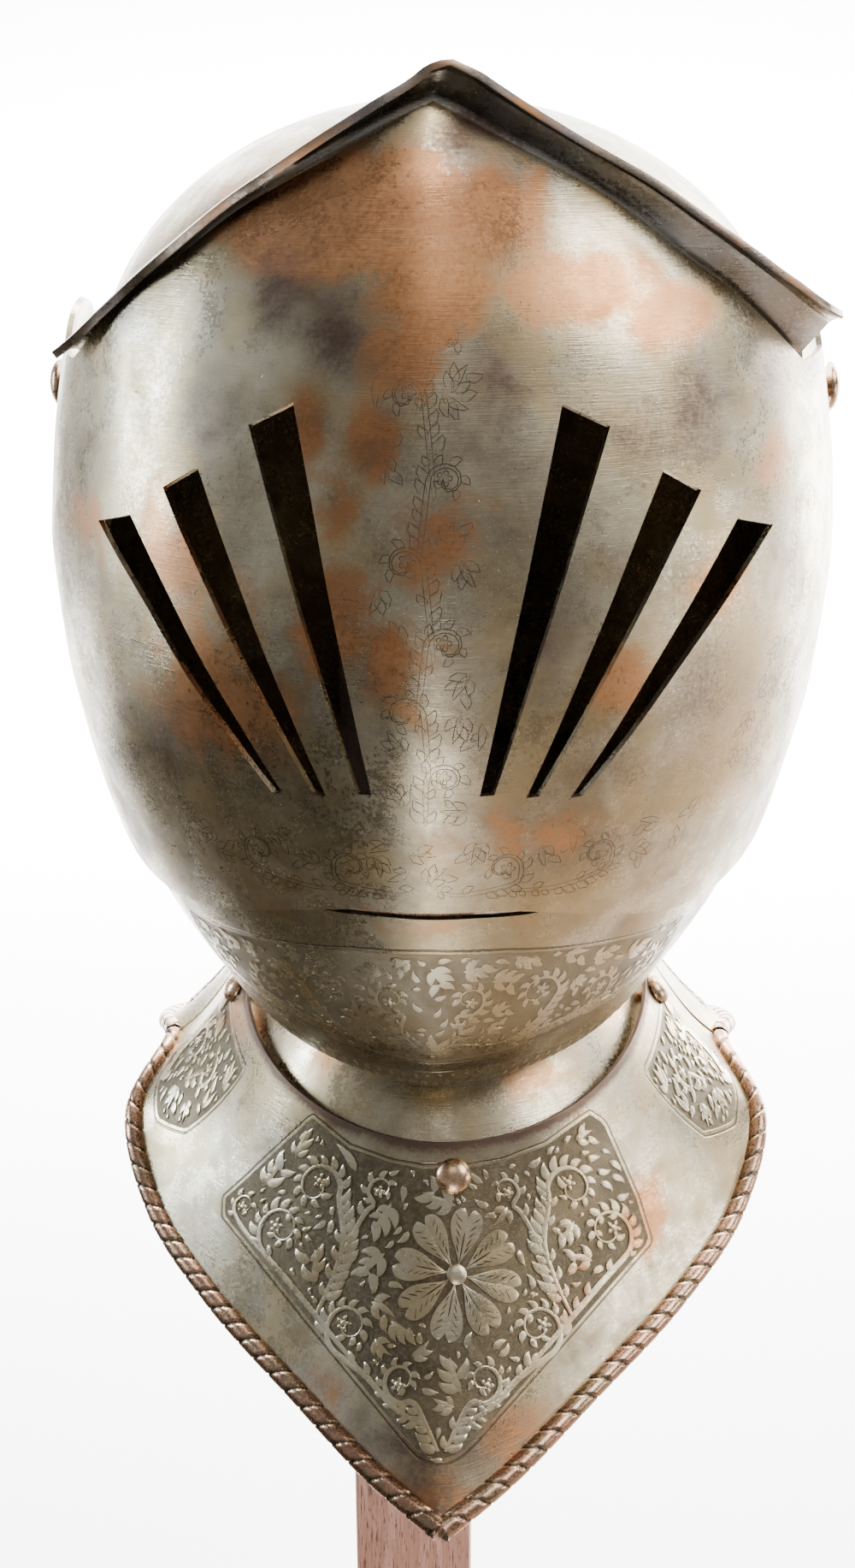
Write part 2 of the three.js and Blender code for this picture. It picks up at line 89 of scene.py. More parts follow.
def towards(angles):
    return np.stack([np.cos(angles), np.sin(angles)], -1)


def circle(radius, count=28):
    return radius * towards(np.linspace(0, 2 * math.pi, count, endpoint=False))


def smoothStep(t):
    c = np.clip(t, 0, 1)
    return c * c * (3 - 2 * c)


def unit(v):
    return v / np.maximum(np.linalg.norm(v, axis=-1, keepdims=True), 1e-12)


def splinePoints(points, count):
    # evenly numbered points on a Catmull-Rom curve through a few given ones
    p = np.array(points, float)
    p = np.vstack([2 * p[0] - p[1], p, 2 * p[-1] - p[-2]])
    t = np.linspace(0, len(p) - 3, count)
    i = np.minimum(t.astype(int), len(p) - 4)
    f = (t - i)[:, None]
    a, b, c, d = p[i], p[i + 1], p[i + 2], p[i + 3]
    return 0.5 * (2 * b + (c - a) * f + (2 * a - 5 * b + 4 * c - d) * f**2 + (3 * b - a - 3 * c + d) * f**3)


def evenly(points, spacing, closed=False):
    # a polyline with its points about one spacing apart, its corners kept
    p = np.array(points, float)
    ends = np.roll(p, -1, axis=0) if closed else p[1:]
    kept = []
    for a, b in zip(p, ends):
        parts = max(1, int(round(np.linalg.norm(b - a) / spacing)))
        kept += [a + (b - a) * k / parts for k in range(parts)]
    return np.array(kept if closed else kept + [p[-1]])


def evenlySpaced(line, spacing):
    # the same curve with its points at even distances
    length = np.concatenate([[0], np.cumsum(np.linalg.norm(np.diff(line, axis=0), axis=1))])
    at = np.linspace(0, length[-1], max(3, int(length[-1] / spacing)))
    return np.stack([np.interp(at, length, line[:, k]) for k in range(line.shape[1])], 1)


def ripple(p, size, height, seed):
    # gentle unevenness of hand-raised plate, from a few crossed waves
    waves = np.random.default_rng(seed)
    total = 0
    for _ in range(7):
        way = unit(waves.normal(size=3)) * 2 * math.pi / (size * waves.uniform(0.6, 1.7))
        total = total + np.sin(p @ way + waves.uniform(0, 6.28))
    return total * height / 7


def surfaceNormals(pointAt, a, b, step):
    across = pointAt(a, b + step) - pointAt(a, b - step)
    along = pointAt(a + step * 60, b) - pointAt(a - step * 60, b)
    return unit(np.cross(across, along))


def addObject(name, data):
    obj = bpy.data.objects.new(name, data)
    bpy.context.collection.objects.link(obj)
    return obj


def addMesh(name, points, faces):
    # points in metres
    mesh = bpy.data.meshes.new(name)
    mesh.from_pydata(points, [], faces)
    return mesh


def makeObject(name, points, faces, attributes=None):
    # points in millimetres from the hinge line's middle
    mesh = addMesh(name, (np.asarray(points) * mm + hinge).tolist(), faces)
    for key, values in (attributes or {}).items():
        layer = mesh.attributes.new(key, "FLOAT", "POINT")
        layer.data.foreach_set("value", np.asarray(values, dtype=np.float32))
    mesh.validate()
    return addObject(name, mesh)


def smoothShade(obj, angle):
    obj.data.shade_smooth()
    obj.data.set_sharp_from_angle(angle=math.radians(angle))


def closedPlate(outer, normals, faces, thickness):
    # both skins of a plate and the rim between them
    outer, normals = outer.reshape(-1, 3), normals.reshape(-1, 3)
    count = len(outer)
    starts, ends = faces.ravel(), np.roll(faces, -1, axis=1).ravel()
    lonely = ~np.isin(starts * count + ends, ends * count + starts)
    a, b = starts[lonely], ends[lonely]
    rim = np.stack([b, a, a + count, b + count], 1)
    points = np.vstack([outer, outer - normals * thickness])
    return points, faces.tolist() + (faces[:, ::-1] + count).tolist() + rim.tolist()


def gridFaces(rows, columns, ring=False):
    i, j = np.meshgrid(np.arange(rows - 1), np.arange(columns if ring else columns - 1), indexing="ij")
    a, b = i * columns + j, i * columns + (j + 1) % columns
    return np.stack([a, b, b + columns, a + columns], -1).reshape(-1, 4)


def gridNormals(grid, ring=False):
    across = np.roll(grid, -1, 1) - np.roll(grid, 1, 1) if ring else np.gradient(grid, axis=1)
    return unit(np.cross(across, np.gradient(grid, axis=0)))


def inside(points, loop):
    x, y = points[:, :1], points[:, 1:2]
    a, b = loop, np.roll(loop, -1, axis=0)
    crosses = (a[:, 1] > y) != (b[:, 1] > y)
    rise = np.where(b[:, 1] == a[:, 1], 1e-9, b[:, 1] - a[:, 1])
    at = a[:, 0] + (y - a[:, 1]) / rise * (b[:, 0] - a[:, 0])
    return (np.count_nonzero(crosses & (x < at), axis=1) % 2).astype(bool)


def trimmedPatch(border, holes, spacing):
    # triangles that fill a flat outline with holes, with points on a staggered grid between
    loops = [border, *holes]
    edge = np.vstack(loops)
    near = KDTree(len(edge))
    for i, (x, y) in enumerate(edge):
        near.insert((x, y, 0), i)
    near.balance()
    low, high = border.min(0), border.max(0)
    ys = np.arange(low[1], high[1], spacing * 0.87)
    grid = np.array([
        (x + (k % 2) * spacing / 2, y) for k, y in enumerate(ys) for x in np.arange(low[0], high[0], spacing)
    ])

    def within(points):
        found = inside(points, border)
        for hole in holes:
            found &= ~inside(points, hole)
        return found

    grid = grid[within(grid)]
    grid = np.array([p for p in grid if near.find((p[0], p[1], 0))[2] > spacing * 0.62])
    points = np.vstack([edge, grid])
    edges, first = [], 0
    for loop in loops:
        edges += [(first + k, first + (k + 1) % len(loop)) for k in range(len(loop))]
        first += len(loop)
    found = delaunay_2d_cdt([Vector(p) for p in points], edges, [], 0, 1e-5)
    flat = np.array([tuple(v) for v in found[0]])
    faces = np.array([f for f in found[2] if len(f) == 3])
    faces = faces[within(flat[faces].mean(1))]
    a, b, c = (flat[faces[:, k]] for k in range(3))
    area = (b[:, 0] - a[:, 0]) * (c[:, 1] - a[:, 1]) - (b[:, 1] - a[:, 1]) * (c[:, 0] - a[:, 0])
    faces[area < 0] = faces[area < 0][:, ::-1]
    return flat, faces[np.abs(area) > 1e-9]


def plateObject(name, points, faces, layers, edge, angle=38):
    obj = makeObject(name, points, faces, layers)
    smoothShade(obj, angle)
    finishEdges(obj, edge)
    return obj


def finishEdges(obj, width):
    bevel = obj.modifiers.new("edges", "BEVEL")
    bevel.width = width * mm
    bevel.segments = 2
    bevel.limit_method = "ANGLE"
    bevel.angle_limit = math.radians(50)
    bevel.harden_normals = True
    bevel.use_clamp_overlap = True


# the helmet's surfaces, in millimetres: level is a height, turn is 0 at the face and pi at the nape
form = {
    "top": 77, "crownHalfWidth": 97, "crownFront": 100, "crownBack": 117,
    "keelShare": 0.1, "keelSoftness": 0.07,
    "neckTilt": math.tan(math.radians(10)), "neckFront": 85, "plate": 1.6, "gap": 0.4,
}


def sectionPoint(level, turn, halfWidth, front, back):
    c, s = np.cos(turn), np.sin(turn)
    softness = form["keelSoftness"]
    prow = 1 - (np.hypot(s, softness) - softness) / (math.hypot(1, softness) - softness)
    y = np.where(c > 0, -front * ((1 - form["keelShare"]) * c + form["keelShare"] * prow), -back * c)
    lean = smoothStep((-120 - level) / 57) * form["neckTilt"]
    return np.stack([halfWidth * s, y, level + lean * (y + form["neckFront"])], -1)


skullHalfWidth = smoothTable([
    (-188, 55), (-183, 62.4), (-177, 67.4), (-170, 71.4), (-145, 82.8), (-121, 91.3),
    (-97, 97.3), (-77, 101.3), (-60, 102.8), (-45, 102.4), (-30, 100.2), (-17, 98), (0, 97)])
skullFront = smoothTable([(-188, 70), (-145, 102), (-77, 118), (-30, 110), (0, 100)])
skullBack = smoothTable([
    (-188, 63), (-183, 69), (-177, 74), (-168, 78), (-150, 84), (-125, 94), (-90, 107), (-50, 116), (-20, 118),
    (0, 117)])


def skullPoint(level, turn):
    above = np.clip(level / form["top"], 0, 1)
    halfWidth = np.where(level > 0, form["crownHalfWidth"] * np.sqrt(1 - above**2), skullHalfWidth(level))
    front = np.where(level > 0, form["crownFront"] * (1 - above**2.6) ** (1 / 2.6), skullFront(level))
    back = np.where(level > 0, form["crownBack"] * (1 - above**2.3) ** (1 / 2.3), skullBack(level))
    return sectionPoint(level, turn, halfWidth, front, back)


bevorHalfWidth = smoothTable([
    (-188, 58), (-183, 65.4), (-177, 70.4), (-170, 74.4), (-145, 85.8), (-121, 94.3), (-97, 100.3),
    (-77, 104.3), (-60, 105.8), (-45, 105.4), (-30, 103.4), (-17, 101.8), (0, 101), (20, 100)])
bevorFront = smoothTable([
    (-188, 72.5), (-183, 79.5), (-177, 85), (-168, 91.5), (-158, 98.5), (-145, 105.5),
    (-130, 112), (-112, 117.5), (-100, 119), (-77, 121), (0, 118)])


def bevorPoint(level, turn):
    back = skullBack(np.minimum(level, 0)) + 3
    return sectionPoint(level, turn, bevorHalfWidth(level), bevorFront(level), back)


visorHalfWidth = smoothTable([
    (-140, 90.8), (-121, 98.4), (-97, 104.8), (-77, 108.8), (-57, 111.1), (-37, 112), (-15, 110.2),
    (0, 108), (12, 105.8), (24, 102.4), (40, 92.4), (53, 78.5), (65, 59), (74, 34), (77, 22)])
visorFront = smoothTable([
    (-140, 109), (-121, 116.8), (-110, 120.9), (-88, 127.5), (-58, 130), (-28, 127), (2, 119.5),
    (30, 108.5), (53, 93.5), (65, 82.5), (74, 72), (77, 67)])
browHeight = smoothTable([(0, 74), (41, 53), (61, 39.5), (74.5, 30), (95, 11.8)])


def visorPoint(level, turn):
    return sectionPoint(level, turn, visorHalfWidth(level), visorFront(level), 150)


def visorAt(x, z):
    # the visor's surface at a place in front view
    return visorPoint(z, np.arcsin(np.clip(x / visorHalfWidth(z), -1, 1)))


def turnFromSide(pointAt, y, z):
    # the turn and level of a surface point from its place in side view
    turns = np.linspace(0, 1.95, 600)
    found = []
    for wantedY, wantedZ in zip(np.atleast_1d(y), np.atleast_1d(z)):
        level = wantedZ
        for _ in range(12):
            lean = smoothStep((-120 - level) / 57) * form["neckTilt"]
            level = 0.5 * level + 0.5 * (wantedZ - lean * (wantedY + form["neckFront"]))
        ys = pointAt(np.full_like(turns, level), turns)[:, 1]
        found.append((np.interp(wantedY, ys, turns), level))
    return np.array(found)


def newMaterial(name):
    material = bpy.data.materials.new(name)
    material.use_nodes = True
    tree = material.node_tree
    return material, tree, tree.nodes["Principled BSDF"]


def link(tree, source, target):
    tree.links.new(source, target)


def setSocket(tree, socket, value):
    if isinstance(value, bpy.types.NodeSocket):
        link(tree, value, socket)
    else:
        socket.default_value = value


def addNode(tree, kind, inputs=None, **settings):
    # a node with its settings and inputs, by name or number: sockets are linked, values are set
    node = tree.nodes.new(kind)
    for key, value in settings.items():
        setattr(node, key, value)
    for key, value in (inputs or {}).items():
        setSocket(tree, node.inputs[key], value)
    return node


def maths(tree, operation, *values):
    return addNode(tree, "ShaderNodeMath", dict(enumerate(values)), operation=operation).outputs[0]


def plus(tree, a, b):
    return maths(tree, "ADD", a, b)


def times(tree, a, b):
    return maths(tree, "MULTIPLY", a, b)


def mixed(tree, a, shareA, b, shareB):
    return plus(tree, times(tree, a, shareA), times(tree, b, shareB))


def swayed(tree, value, bias, *patterns):
    # a value moved up and down by patterns that lie round a half, each with its share
    for pattern, share in patterns:
        value = plus(tree, value, maths(tree, "MULTIPLY_ADD", pattern, share, bias - share / 2))
        bias = 0.0
    return value


def ramp(tree, value, low, high, start=0.0, end=1.0):
    # a smooth change from start to end while the value goes from low to high
    inputs = dict(enumerate((value, low, high, start, end)))
    return addNode(tree, "ShaderNodeMapRange", inputs, interpolation_type="SMOOTHSTEP").outputs[0]


def blendColour(tree, amount, a, b):
    a, b = ((*value, 1) if isinstance(value, tuple) else value for value in (a, b))
    return addNode(tree, "ShaderNodeMix", {0: amount, 6: a, 7: b}, data_type="RGBA").outputs[2]


def tinted(tree, colour, mask, low, high, share, other):
    # another colour laid over one where a mask rises from low to high
    return blendColour(tree, ramp(tree, mask, low, high, 0.0, share), colour, other)


def objectPlace(tree, stretch=(1, 1, 1), tilt=(0, 0, 0)):
    # object coordinates in millimetres, stretched along an axis where a pattern runs long
    return addNode(tree, "ShaderNodeMapping", {
        "Scale": [1000 / s for s in stretch], "Rotation": [math.radians(a) for a in tilt],
        "Vector": addNode(tree, "ShaderNodeTexCoord").outputs["Object"]}).outputs[0]


def noise(tree, place, size, detail=4.0, rough=0.55, warp=0.0):
    return addNode(tree, "ShaderNodeTexNoise", {
        "Scale": 1 / size, "Detail": detail, "Roughness": rough, "Distortion": warp, "Vector": place}).outputs[0]


def attribute(tree, name):
    return addNode(tree, "ShaderNodeAttribute", attribute_name=name).outputs["Fac"]


def finishShader(tree, shader, colour, rough, height, relief, metal=0.0):
    link(tree, colour, shader.inputs["Base Color"])
    link(tree, rough, shader.inputs["Roughness"])
    shader.inputs["Metallic"].default_value = metal
    bump = addNode(tree, "ShaderNodeBump", {"Distance": relief * mm, "Strength": 1.0, "Height": height})
    link(tree, bump.outputs[0], shader.inputs["Normal"])


plateLook = {
    "silver": (0.54, 0.48, 0.355), "dull": (0.25, 0.20, 0.125), "stainAndShade": (0.095, 0.057, 0.045),
    "copper": (0.35, 0.145, 0.055), "paleCopper": (0.47, 0.235, 0.11), "ground": (0.10, 0.08, 0.052),
    "warm": (0.40, 0.30, 0.15), "polish": (0.19, 0.41), "cover": 0.92, "relief": 0.11,
}


def wornPlate(name, copperBias=0.0, stainBias=0.0, tone=1.0, ground=0.0, mottling=1.0, tint=(1, 1, 1)):
    # silver plate worn through to copper, with stains (and painted shade where a plate's layer brings it), pits and
    # fine level scratches
    material, tree, shader = newMaterial(name)
    place = objectPlace(tree)
    wide, middle = noise(tree, place, 38, 6, 0.62, 0.5), noise(tree, place, 13, 9, 0.62, 0.3)
    fine, yellowing = noise(tree, place, 1.1, 4, 0.6), noise(tree, place, 24, 3, 0.5, 0.3)
    scratch = noise(tree, objectPlace(tree, (8, 8, 0.2), (4, -3, 0)), 1.0, 4, 0.6)
    crossing = noise(tree, objectPlace(tree, (10, 10, 0.28), (-9, 11, 0)), 1.3, 3, 0.6)
    dark, cover = plateLook["stainAndShade"], plateLook["cover"]
    copper = swayed(tree, attribute(tree, "copper"), copperBias, (middle, 1.1), (wide, 0.9), (fine, 0.45))
    # the stain layer also carries painted shade, such as the collar's shadow on the gorget
    stainAndShade = swayed(tree, attribute(tree, "stainAndShade"), stainBias - 0.15, (middle, -1.3), (fine, 0.7))
    copperMask, stainAndShadeMask = ramp(tree, copper, 0.24, 0.7, 0.0, cover), ramp(tree, stainAndShade, 0.02, 0.85, 0.0, cover)
    bright, dull, warm = (
        tuple(tone * t * c for t, c in zip(tint, plateLook[key])) for key in ("silver", "dull", "warm"))
    colour = tinted(tree, bright, mixed(tree, wide, 0.55, middle, 0.45), 0.36, 0.64, mottling, dull)
    colour = tinted(tree, colour, yellowing, 0.42, 0.62, 0.6, warm)
    colour = tinted(tree, colour, scratch, 0.58, 0.74, 0.35 * mottling, dark)
    reddening = mixed(tree, fine, 0.4, wide, 0.6)
    coppery = tinted(tree, plateLook["copper"], reddening, 0.38, 0.6, 1.0, plateLook["paleCopper"])
    colour = blendColour(tree, stainAndShadeMask, blendColour(tree, copperMask, colour, coppery), dark)
    spots = addNode(tree, "ShaderNodeTexVoronoi", {"Scale": 1 / 4.5, "Vector": place}).outputs["Distance"]
    pits = times(tree, ramp(tree, spots, 0.03, 0.09, 1.0, 0.0), ramp(tree, middle, 0.54, 0.62))
    colour = blendColour(tree, times(tree, pits, 0.7), colour, dark)
    rough = ramp(tree, plus(tree, times(tree, fine, 0.5), middle), 0.5, 1.0, *plateLook["polish"])
    rough = plus(tree, rough, times(tree, stainAndShadeMask, 0.16))
    relief = mixed(tree, scratch, 0.5, crossing, 0.35)
    for mask, depth in ((pits, -0.9), (copperMask, -0.25)):
        relief = plus(tree, relief, times(tree, mask, depth))
    if ground:  # the etched ground of a panel, and the line cut round it
        depth = attribute(tree, "panel")
        etched = ramp(tree, depth, -0.05, 0.12)
        cut = times(tree, ramp(tree, depth, -1.45, -1.2), ramp(tree, depth, -0.95, -0.7, 1.0, 0.0))
        bed = tinted(tree, plateLook["ground"], fine, 0.42, 0.8, 0.6, plateLook["dull"])
        bed = tinted(tree, bed, wide, 0.48, 0.68, 0.3, colour)
        colour = blendColour(tree, times(tree, etched, ground), colour, bed)
        colour = blendColour(tree, times(tree, cut, 0.8), colour, plateLook["ground"])
        rough = plus(tree, rough, times(tree, etched, 0.17))
        stipple = times(tree, etched, noise(tree, place, 0.5, 3, 0.7))
        for mask, depth in ((stipple, 0.8), (etched, -1.6), (cut, -1.4)):
            relief = plus(tree, relief, times(tree, mask, depth))
    finishShader(tree, shader, colour, rough, relief, plateLook["relief"], 1.0)
    return material


def redBrass(name, colour, paintedNotchShade=False):
    material, tree, shader = newMaterial(name)
    place = objectPlace(tree)
    middle, fine = noise(tree, place, 5, 5, 0.6, 0.5), noise(tree, place, 0.8, 4, 0.6)
    wide = noise(tree, place, 16, 4, 0.55, 0.3)
    tint = tinted(tree, colour, middle, 0.4, 0.66, 1.0, tuple(0.72 * c for c in colour))
    tint = tinted(tree, tint, wide, 0.48, 0.62, 0.6, plateLook["dull"])
    tint = tinted(tree, tint, fine, 0.62, 0.78, 0.4, plateLook["stainAndShade"])
    # painted shade: dark in the rope's notches
    if paintedNotchShade:
        tint = tinted(tree, tint, attribute(tree, "notch"), 0.1, 0.5, 0.95, plateLook["ground"])
    finishShader(tree, shader, tint, ramp(tree, fine, 0.3, 0.8, 0.2, 0.42), fine, 0.03, 1.0)
    return material


oakLook = {
    "brown": (0.40, 0.21, 0.15), "pale": (0.56, 0.335, 0.26), "fibre": (0.26, 0.12, 0.085),
    # painted shade: near black on the top inside the helmet, between the darkFrom and darkBy heights
    "pore": (0.055, 0.03, 0.025), "paintedInsideShade": (0.03, 0.02, 0.015), "darkFrom": 0.37, "darkBy": 0.40,
}


def oakWood(name, along=(0, 0, 0), paintedShadeTop=False):
    # reddish oak: broad figure, fine fibres and short dark pores along the grain
    material, tree, shader = newMaterial(name)
    figure = noise(tree, objectPlace(tree, (5, 5, 70), along), 1.0, 4, 0.55, 0.8)
    fibres = noise(tree, objectPlace(tree, (0.7, 0.7, 22), along), 1.0, 4, 0.6)
    pores = ramp(tree, noise(tree, objectPlace(tree, (0.55, 0.55, 7), along), 1.0, 3, 0.6), 0.56, 0.64)
    colour = tinted(tree, oakLook["brown"], figure, 0.35, 0.65, 1.0, oakLook["pale"])
    colour = tinted(tree, colour, fibres, 0.45, 0.68, 0.6, oakLook["fibre"])
    colour = blendColour(tree, times(tree, pores, 0.85), colour, oakLook["pore"])
    if paintedShadeTop:  # painted shade: nearly black where it is inside the helmet
        place = addNode(tree, "ShaderNodeTexCoord").outputs["Object"]
        level = addNode(tree, "ShaderNodeSeparateXYZ", {0: place}).outputs["Z"]
        colour = tinted(tree, colour, level, oakLook["darkFrom"], oakLook["darkBy"], 0.94, oakLook["paintedInsideShade"])
    rough = ramp(tree, fibres, 0.3, 0.7, 0.42, 0.62)
    finishShader(tree, shader, colour, rough, maths(tree, "SUBTRACT", fibres, pores), 0.18)
    return material


# wear: where the silver has gone, seen from the front (x, z, half-width, half-height, strength)
copperPatches = [
    (-30, 48, 24, 12, 1.15), (-8, 54, 26, 11, 1.05), (12, 50, 18, 13, 1.0), (0, 36, 15, 15, 1.0),
    (-6, 20, 11, 10, 0.75), (36, 34, 19, 9, 1.0), (55, 27, 13, 8, 1.0), (-27, 5, 6, 10, 0.95),
    (-12, 2, 8, 9, 0.9), (-20, -12, 8, 12, 0.7), (-20, -36, 12, 18, 0.8), (-62, -28, 12, 16, 0.75),
    (-52, -60, 22, 20, 0.75), (-44, -42, 10, 16, 0.65), (-8, -46, 12, 14, 0.7), (2, -20, 14, 14, 0.6),
    (70, -36, 8, 10, 0.75), (46, -54, 9, 10, 0.7), (84, -8, 7, 8, 0.65), (22, -90, 22, 8, 0.4),
    (-90, -26, 14, 10, 0.5), (62, -230, 8, 12, 0.95), (0, -272, 16, 8, 0.7), (-30, -258, 12, 7, 0.6),
    (22, -262, 12, 7, 0.6), (40, -238, 9, 10, 0.6), (-66, -190, 14, 9, 0.6), (56, -182, 22, 7, 0.65),
    (-36, -186, 20, 7, 0.55), (30, -190, 20, 6, 0.5), (0, -118, 40, 4, 0.4),
]
stainPatches = [
    (-34, 35, 14, 10, 0.8), (-20, 24, 13, 13, 0.75), (10, 66, 13, 7, 0.75), (15, 15, 11, 13, 0.7),
    (46, 2, 12, 12, 0.7), (64, 6, 14, 15, 0.75), (30, -4, 9, 18, 0.6), (66, -58, 16, 22, 0.6),
    (26, -44, 10, 20, 0.6), (-66, -74, 18, 18, 0.65), (86, 14, 13, 13, 0.6), (-12, -60, 10, 12, 0.5),
    (-44, 10, 12, 14, 0.5), (0, -272, 18, 8, 0.5), (40, -100, 20, 12, 0.45), (-50, -18, 12, 16, 0.5),
    (-30, -262, 16, 7, 0.5), (26, -264, 16, 7, 0.45), (-60, -210, 20, 12, 0.35), (0, -10, 12, 20, 0.45),
    (-72, 26, 10, 10, 0.4), (96, 12, 10, 8, 0.7), (40, -76, 18, 8, 0.5), (-30, -80, 20, 7, 0.45),
    (4, -4, 46, 34, 0.5), (-52, 4, 13, 20, 0.6), (47, -28, 12, 18, 0.55), (62, -34, 12, 16, 0.5),
    (-30, -30, 10, 18, 0.5), (-74, -34, 10, 22, 0.45), (0, -266, 26, 12, 0.7), (10, -252, 16, 8, 0.4),
]


def wearOf(points, patches):
    total = np.zeros(len(points))
    facing = points[:, 1] < 10
    for x, z, width, height, strength in patches:
        r = np.hypot((points[:, 0] - x) / width, (points[:, 2] - z) / height)
        total = np.maximum(total, strength * (1 - smoothStep(r / 1.8)) * facing)
    return total


def wearLayers(points):
    return {"copper": wearOf(points, copperPatches), "stainAndShade": wearOf(points, stainPatches)}


print("frame and finishes ready")


skull = {  # one dense dome with the face cut out of it, its front edge given in side view
    "rows": 96, "columns": 200, "ripple": 0.35, "edge": 0.35, "hole": 3.4, "lowest": -188,
    "face": [(-99, 30), (-72, 22), (-53, 4), (-45, -30), (-42, -90), (-34, -140), (-24, -180)],
}


def prismObject(name, outline, start, depth):
    # a closed prism seen from the side: outline in (y, z), along x
    count = len(outline)
    points = [(start, y, z) for y, z in outline] + [(start + depth, y, z) for y, z in outline]
    sides = [(i, (i + 1) % count, (i + 1) % count + count, i + count) for i in range(count)]
    faces = [tuple(range(count))[::-1], tuple(range(count, 2 * count)), *sides]
    return faceOutwards(makeObject(name, points, faces))


def faceOutwards(obj):
    work = bmesh.new()
    work.from_mesh(obj.data)
    bmesh.ops.recalc_face_normals(work, faces=work.faces)
    work.to_mesh(obj.data)
    work.free()
    return obj


def plainMesh(obj):
    return bpy.data.meshes.new_from_object(obj.evaluated_get(bpy.context.evaluated_depsgraph_get()))


def applyModifiers(obj):
    mesh = plainMesh(obj)
    obj.modifiers.clear()
    old, obj.data = obj.data, mesh
    bpy.data.meshes.remove(old)
    return obj


def cutWith(obj, cutter):
    cut = obj.modifiers.new("cut", "BOOLEAN")
    cut.object = cutter
    cut.operation = "DIFFERENCE"
    cut.solver = "EXACT"
    bpy.context.view_layer.update()
    applyModifiers(obj)
    bpy.data.objects.remove(cutter)
    return obj


def makeSkull():
    below = np.linspace(skull["lowest"], 0, int(skull["rows"] * 0.62))
    above = form["top"] * np.sin(np.radians(np.linspace(0, 89.2, int(skull["rows"] * 0.5))))[1:]
    levels = np.concatenate([below, above])
    turns = np.linspace(-math.pi, math.pi, skull["columns"] + 1)[:-1]
    grid = skullPoint(*np.meshgrid(levels, turns, indexing="ij"))
    normals = gridNormals(grid, ring=True)
    normals[-1] = (0, 0, 1)
    grid = grid + normals * ripple(grid, 60, skull["ripple"], 3)[..., None]
    columns = skull["columns"]
    faces = gridFaces(len(levels), columns, ring=True)
    points, faces = closedPlate(grid, normals, faces, form["plate"])
    count, last = grid.size // 3, (len(levels) - 1) * columns
    crown = list(range(last, last + columns))
    faces = [f for f in faces if not (f[0] >= last and f[1] >= last and f[0] < count and f[1] < count)]
    faces += [tuple(crown), tuple(i + count for i in crown[::-1])]
    obj = faceOutwards(makeObject("skull_plate", points, faces, wearLayers(points)))
    opening = [(-200, 30), *splinePoints(skull["face"], 60), (-20, -230), (-200, -230)]
    cutWith(obj, prismObject("faceCut", opening, -200, 400))
    cutWith(obj, prismObject("pinCut", circle(skull["hole"]), -200, 400))
    smoothShade(obj, 38)
    finishEdges(obj, skull["edge"])
    return obj


def roundHole(pointAt, radius, scale, side):
    # a hinge hole, from side view to the flat outline
    ring = circle(radius)
    flat = turnFromSide(pointAt, ring[:, 0], ring[:, 1])
    return np.stack([side * flat[:, 0] * scale, flat[:, 1]], 1)


def mirrored(half):
    # a whole outline from its right half, which starts and ends on the middle line
    left = half[::-1].copy()
    left[:, 0] *= -1
    return np.vstack([half, left[1:-1]])


def trimmedPlate(name, pointAt, half, holes, look, extra=None):
    holes = holes + [roundHole(pointAt, look["hole"], look["scale"], side) for side in (1, -1)]
    border = evenly(mirrored(half), look["spacing"] * 0.6, closed=True)
    flat, faces = trimmedPatch(border, holes, look["spacing"])
    turn, level = flat[:, 0] / look["scale"], flat[:, 1]
    outer, normals = pointAt(level, turn), surfaceNormals(pointAt, level, turn, 0.004)
    outer = outer + normals * ripple(outer, look["wave"], look["ripple"], look["seed"])[:, None]
    for x, z, width, height, depth in look["dents"]:
        r = np.hypot((outer[:, 0] - x) / width, (outer[:, 2] - z) / height)
        outer = outer - normals * (depth * (1 - smoothStep(r)))[:, None]
    points, faces = closedPlate(outer, normals, faces, form["plate"])
    layers = wearLayers(points)
    if extra:
        layers["panel"] = np.tile(extra(turn, level), 2)
    return plateObject(name, points, faces, layers, look["edge"], 45)


visor = {
    "spacing": 1.9, "scale": 108.0, "wave": 46, "ripple": 0.55, "seed": 5, "edge": 0.3, "hole": 3.4,
    "dents": [(-30, -8, 26, 20, 0.5), (44, 34, 30, 18, 0.5), (70, -50, 22, 30, 0.4), (-70, -40, 24, 34, 0.5)],
    "lobe": 24, "sideEdge": [
        (-121, -110), (-98, -121), (-78, -127), (-56, -127), (-43, -119), (-41, -88), (-34, -52), (-22, -20)],
    "slots": [
        {"top": (36, 7), "bottom": (14.4, -78.5), "topWidth": 11, "bottomWidth": 3.4, "slope": 0.5},
        {"top": (59.2, -9.2), "bottom": (25.2, -80), "topWidth": 9.6, "bottomWidth": 3, "slope": 0.62},
        {"top": (79.2, -22.2), "bottom": (35.6, -81.5), "topWidth": 10.4, "bottomWidth": 3, "slope": 0.36},
    ],
}


def visorHalfOutline():
    lobe = visor["lobe"] * towards(np.radians(np.linspace(-142, 145, 60)))
    side = np.vstack([splinePoints(visor["sideEdge"], 90)[2:], lobe, [(-48, 12.5)]])
    flat = turnFromSide(visorPoint, side[:, 0], side[:, 1])
    flat = flat[flat[:, 0] > 0.012]
    xs = np.linspace(94, 0, 70)
    zs = browHeight(xs)
    brow = np.stack([np.arcsin(xs / visorHalfWidth(zs)), zs], 1)
    return np.vstack([[(0, flat[0, 1] + 0.4)], flat, brow]) * (visor["scale"], 1)


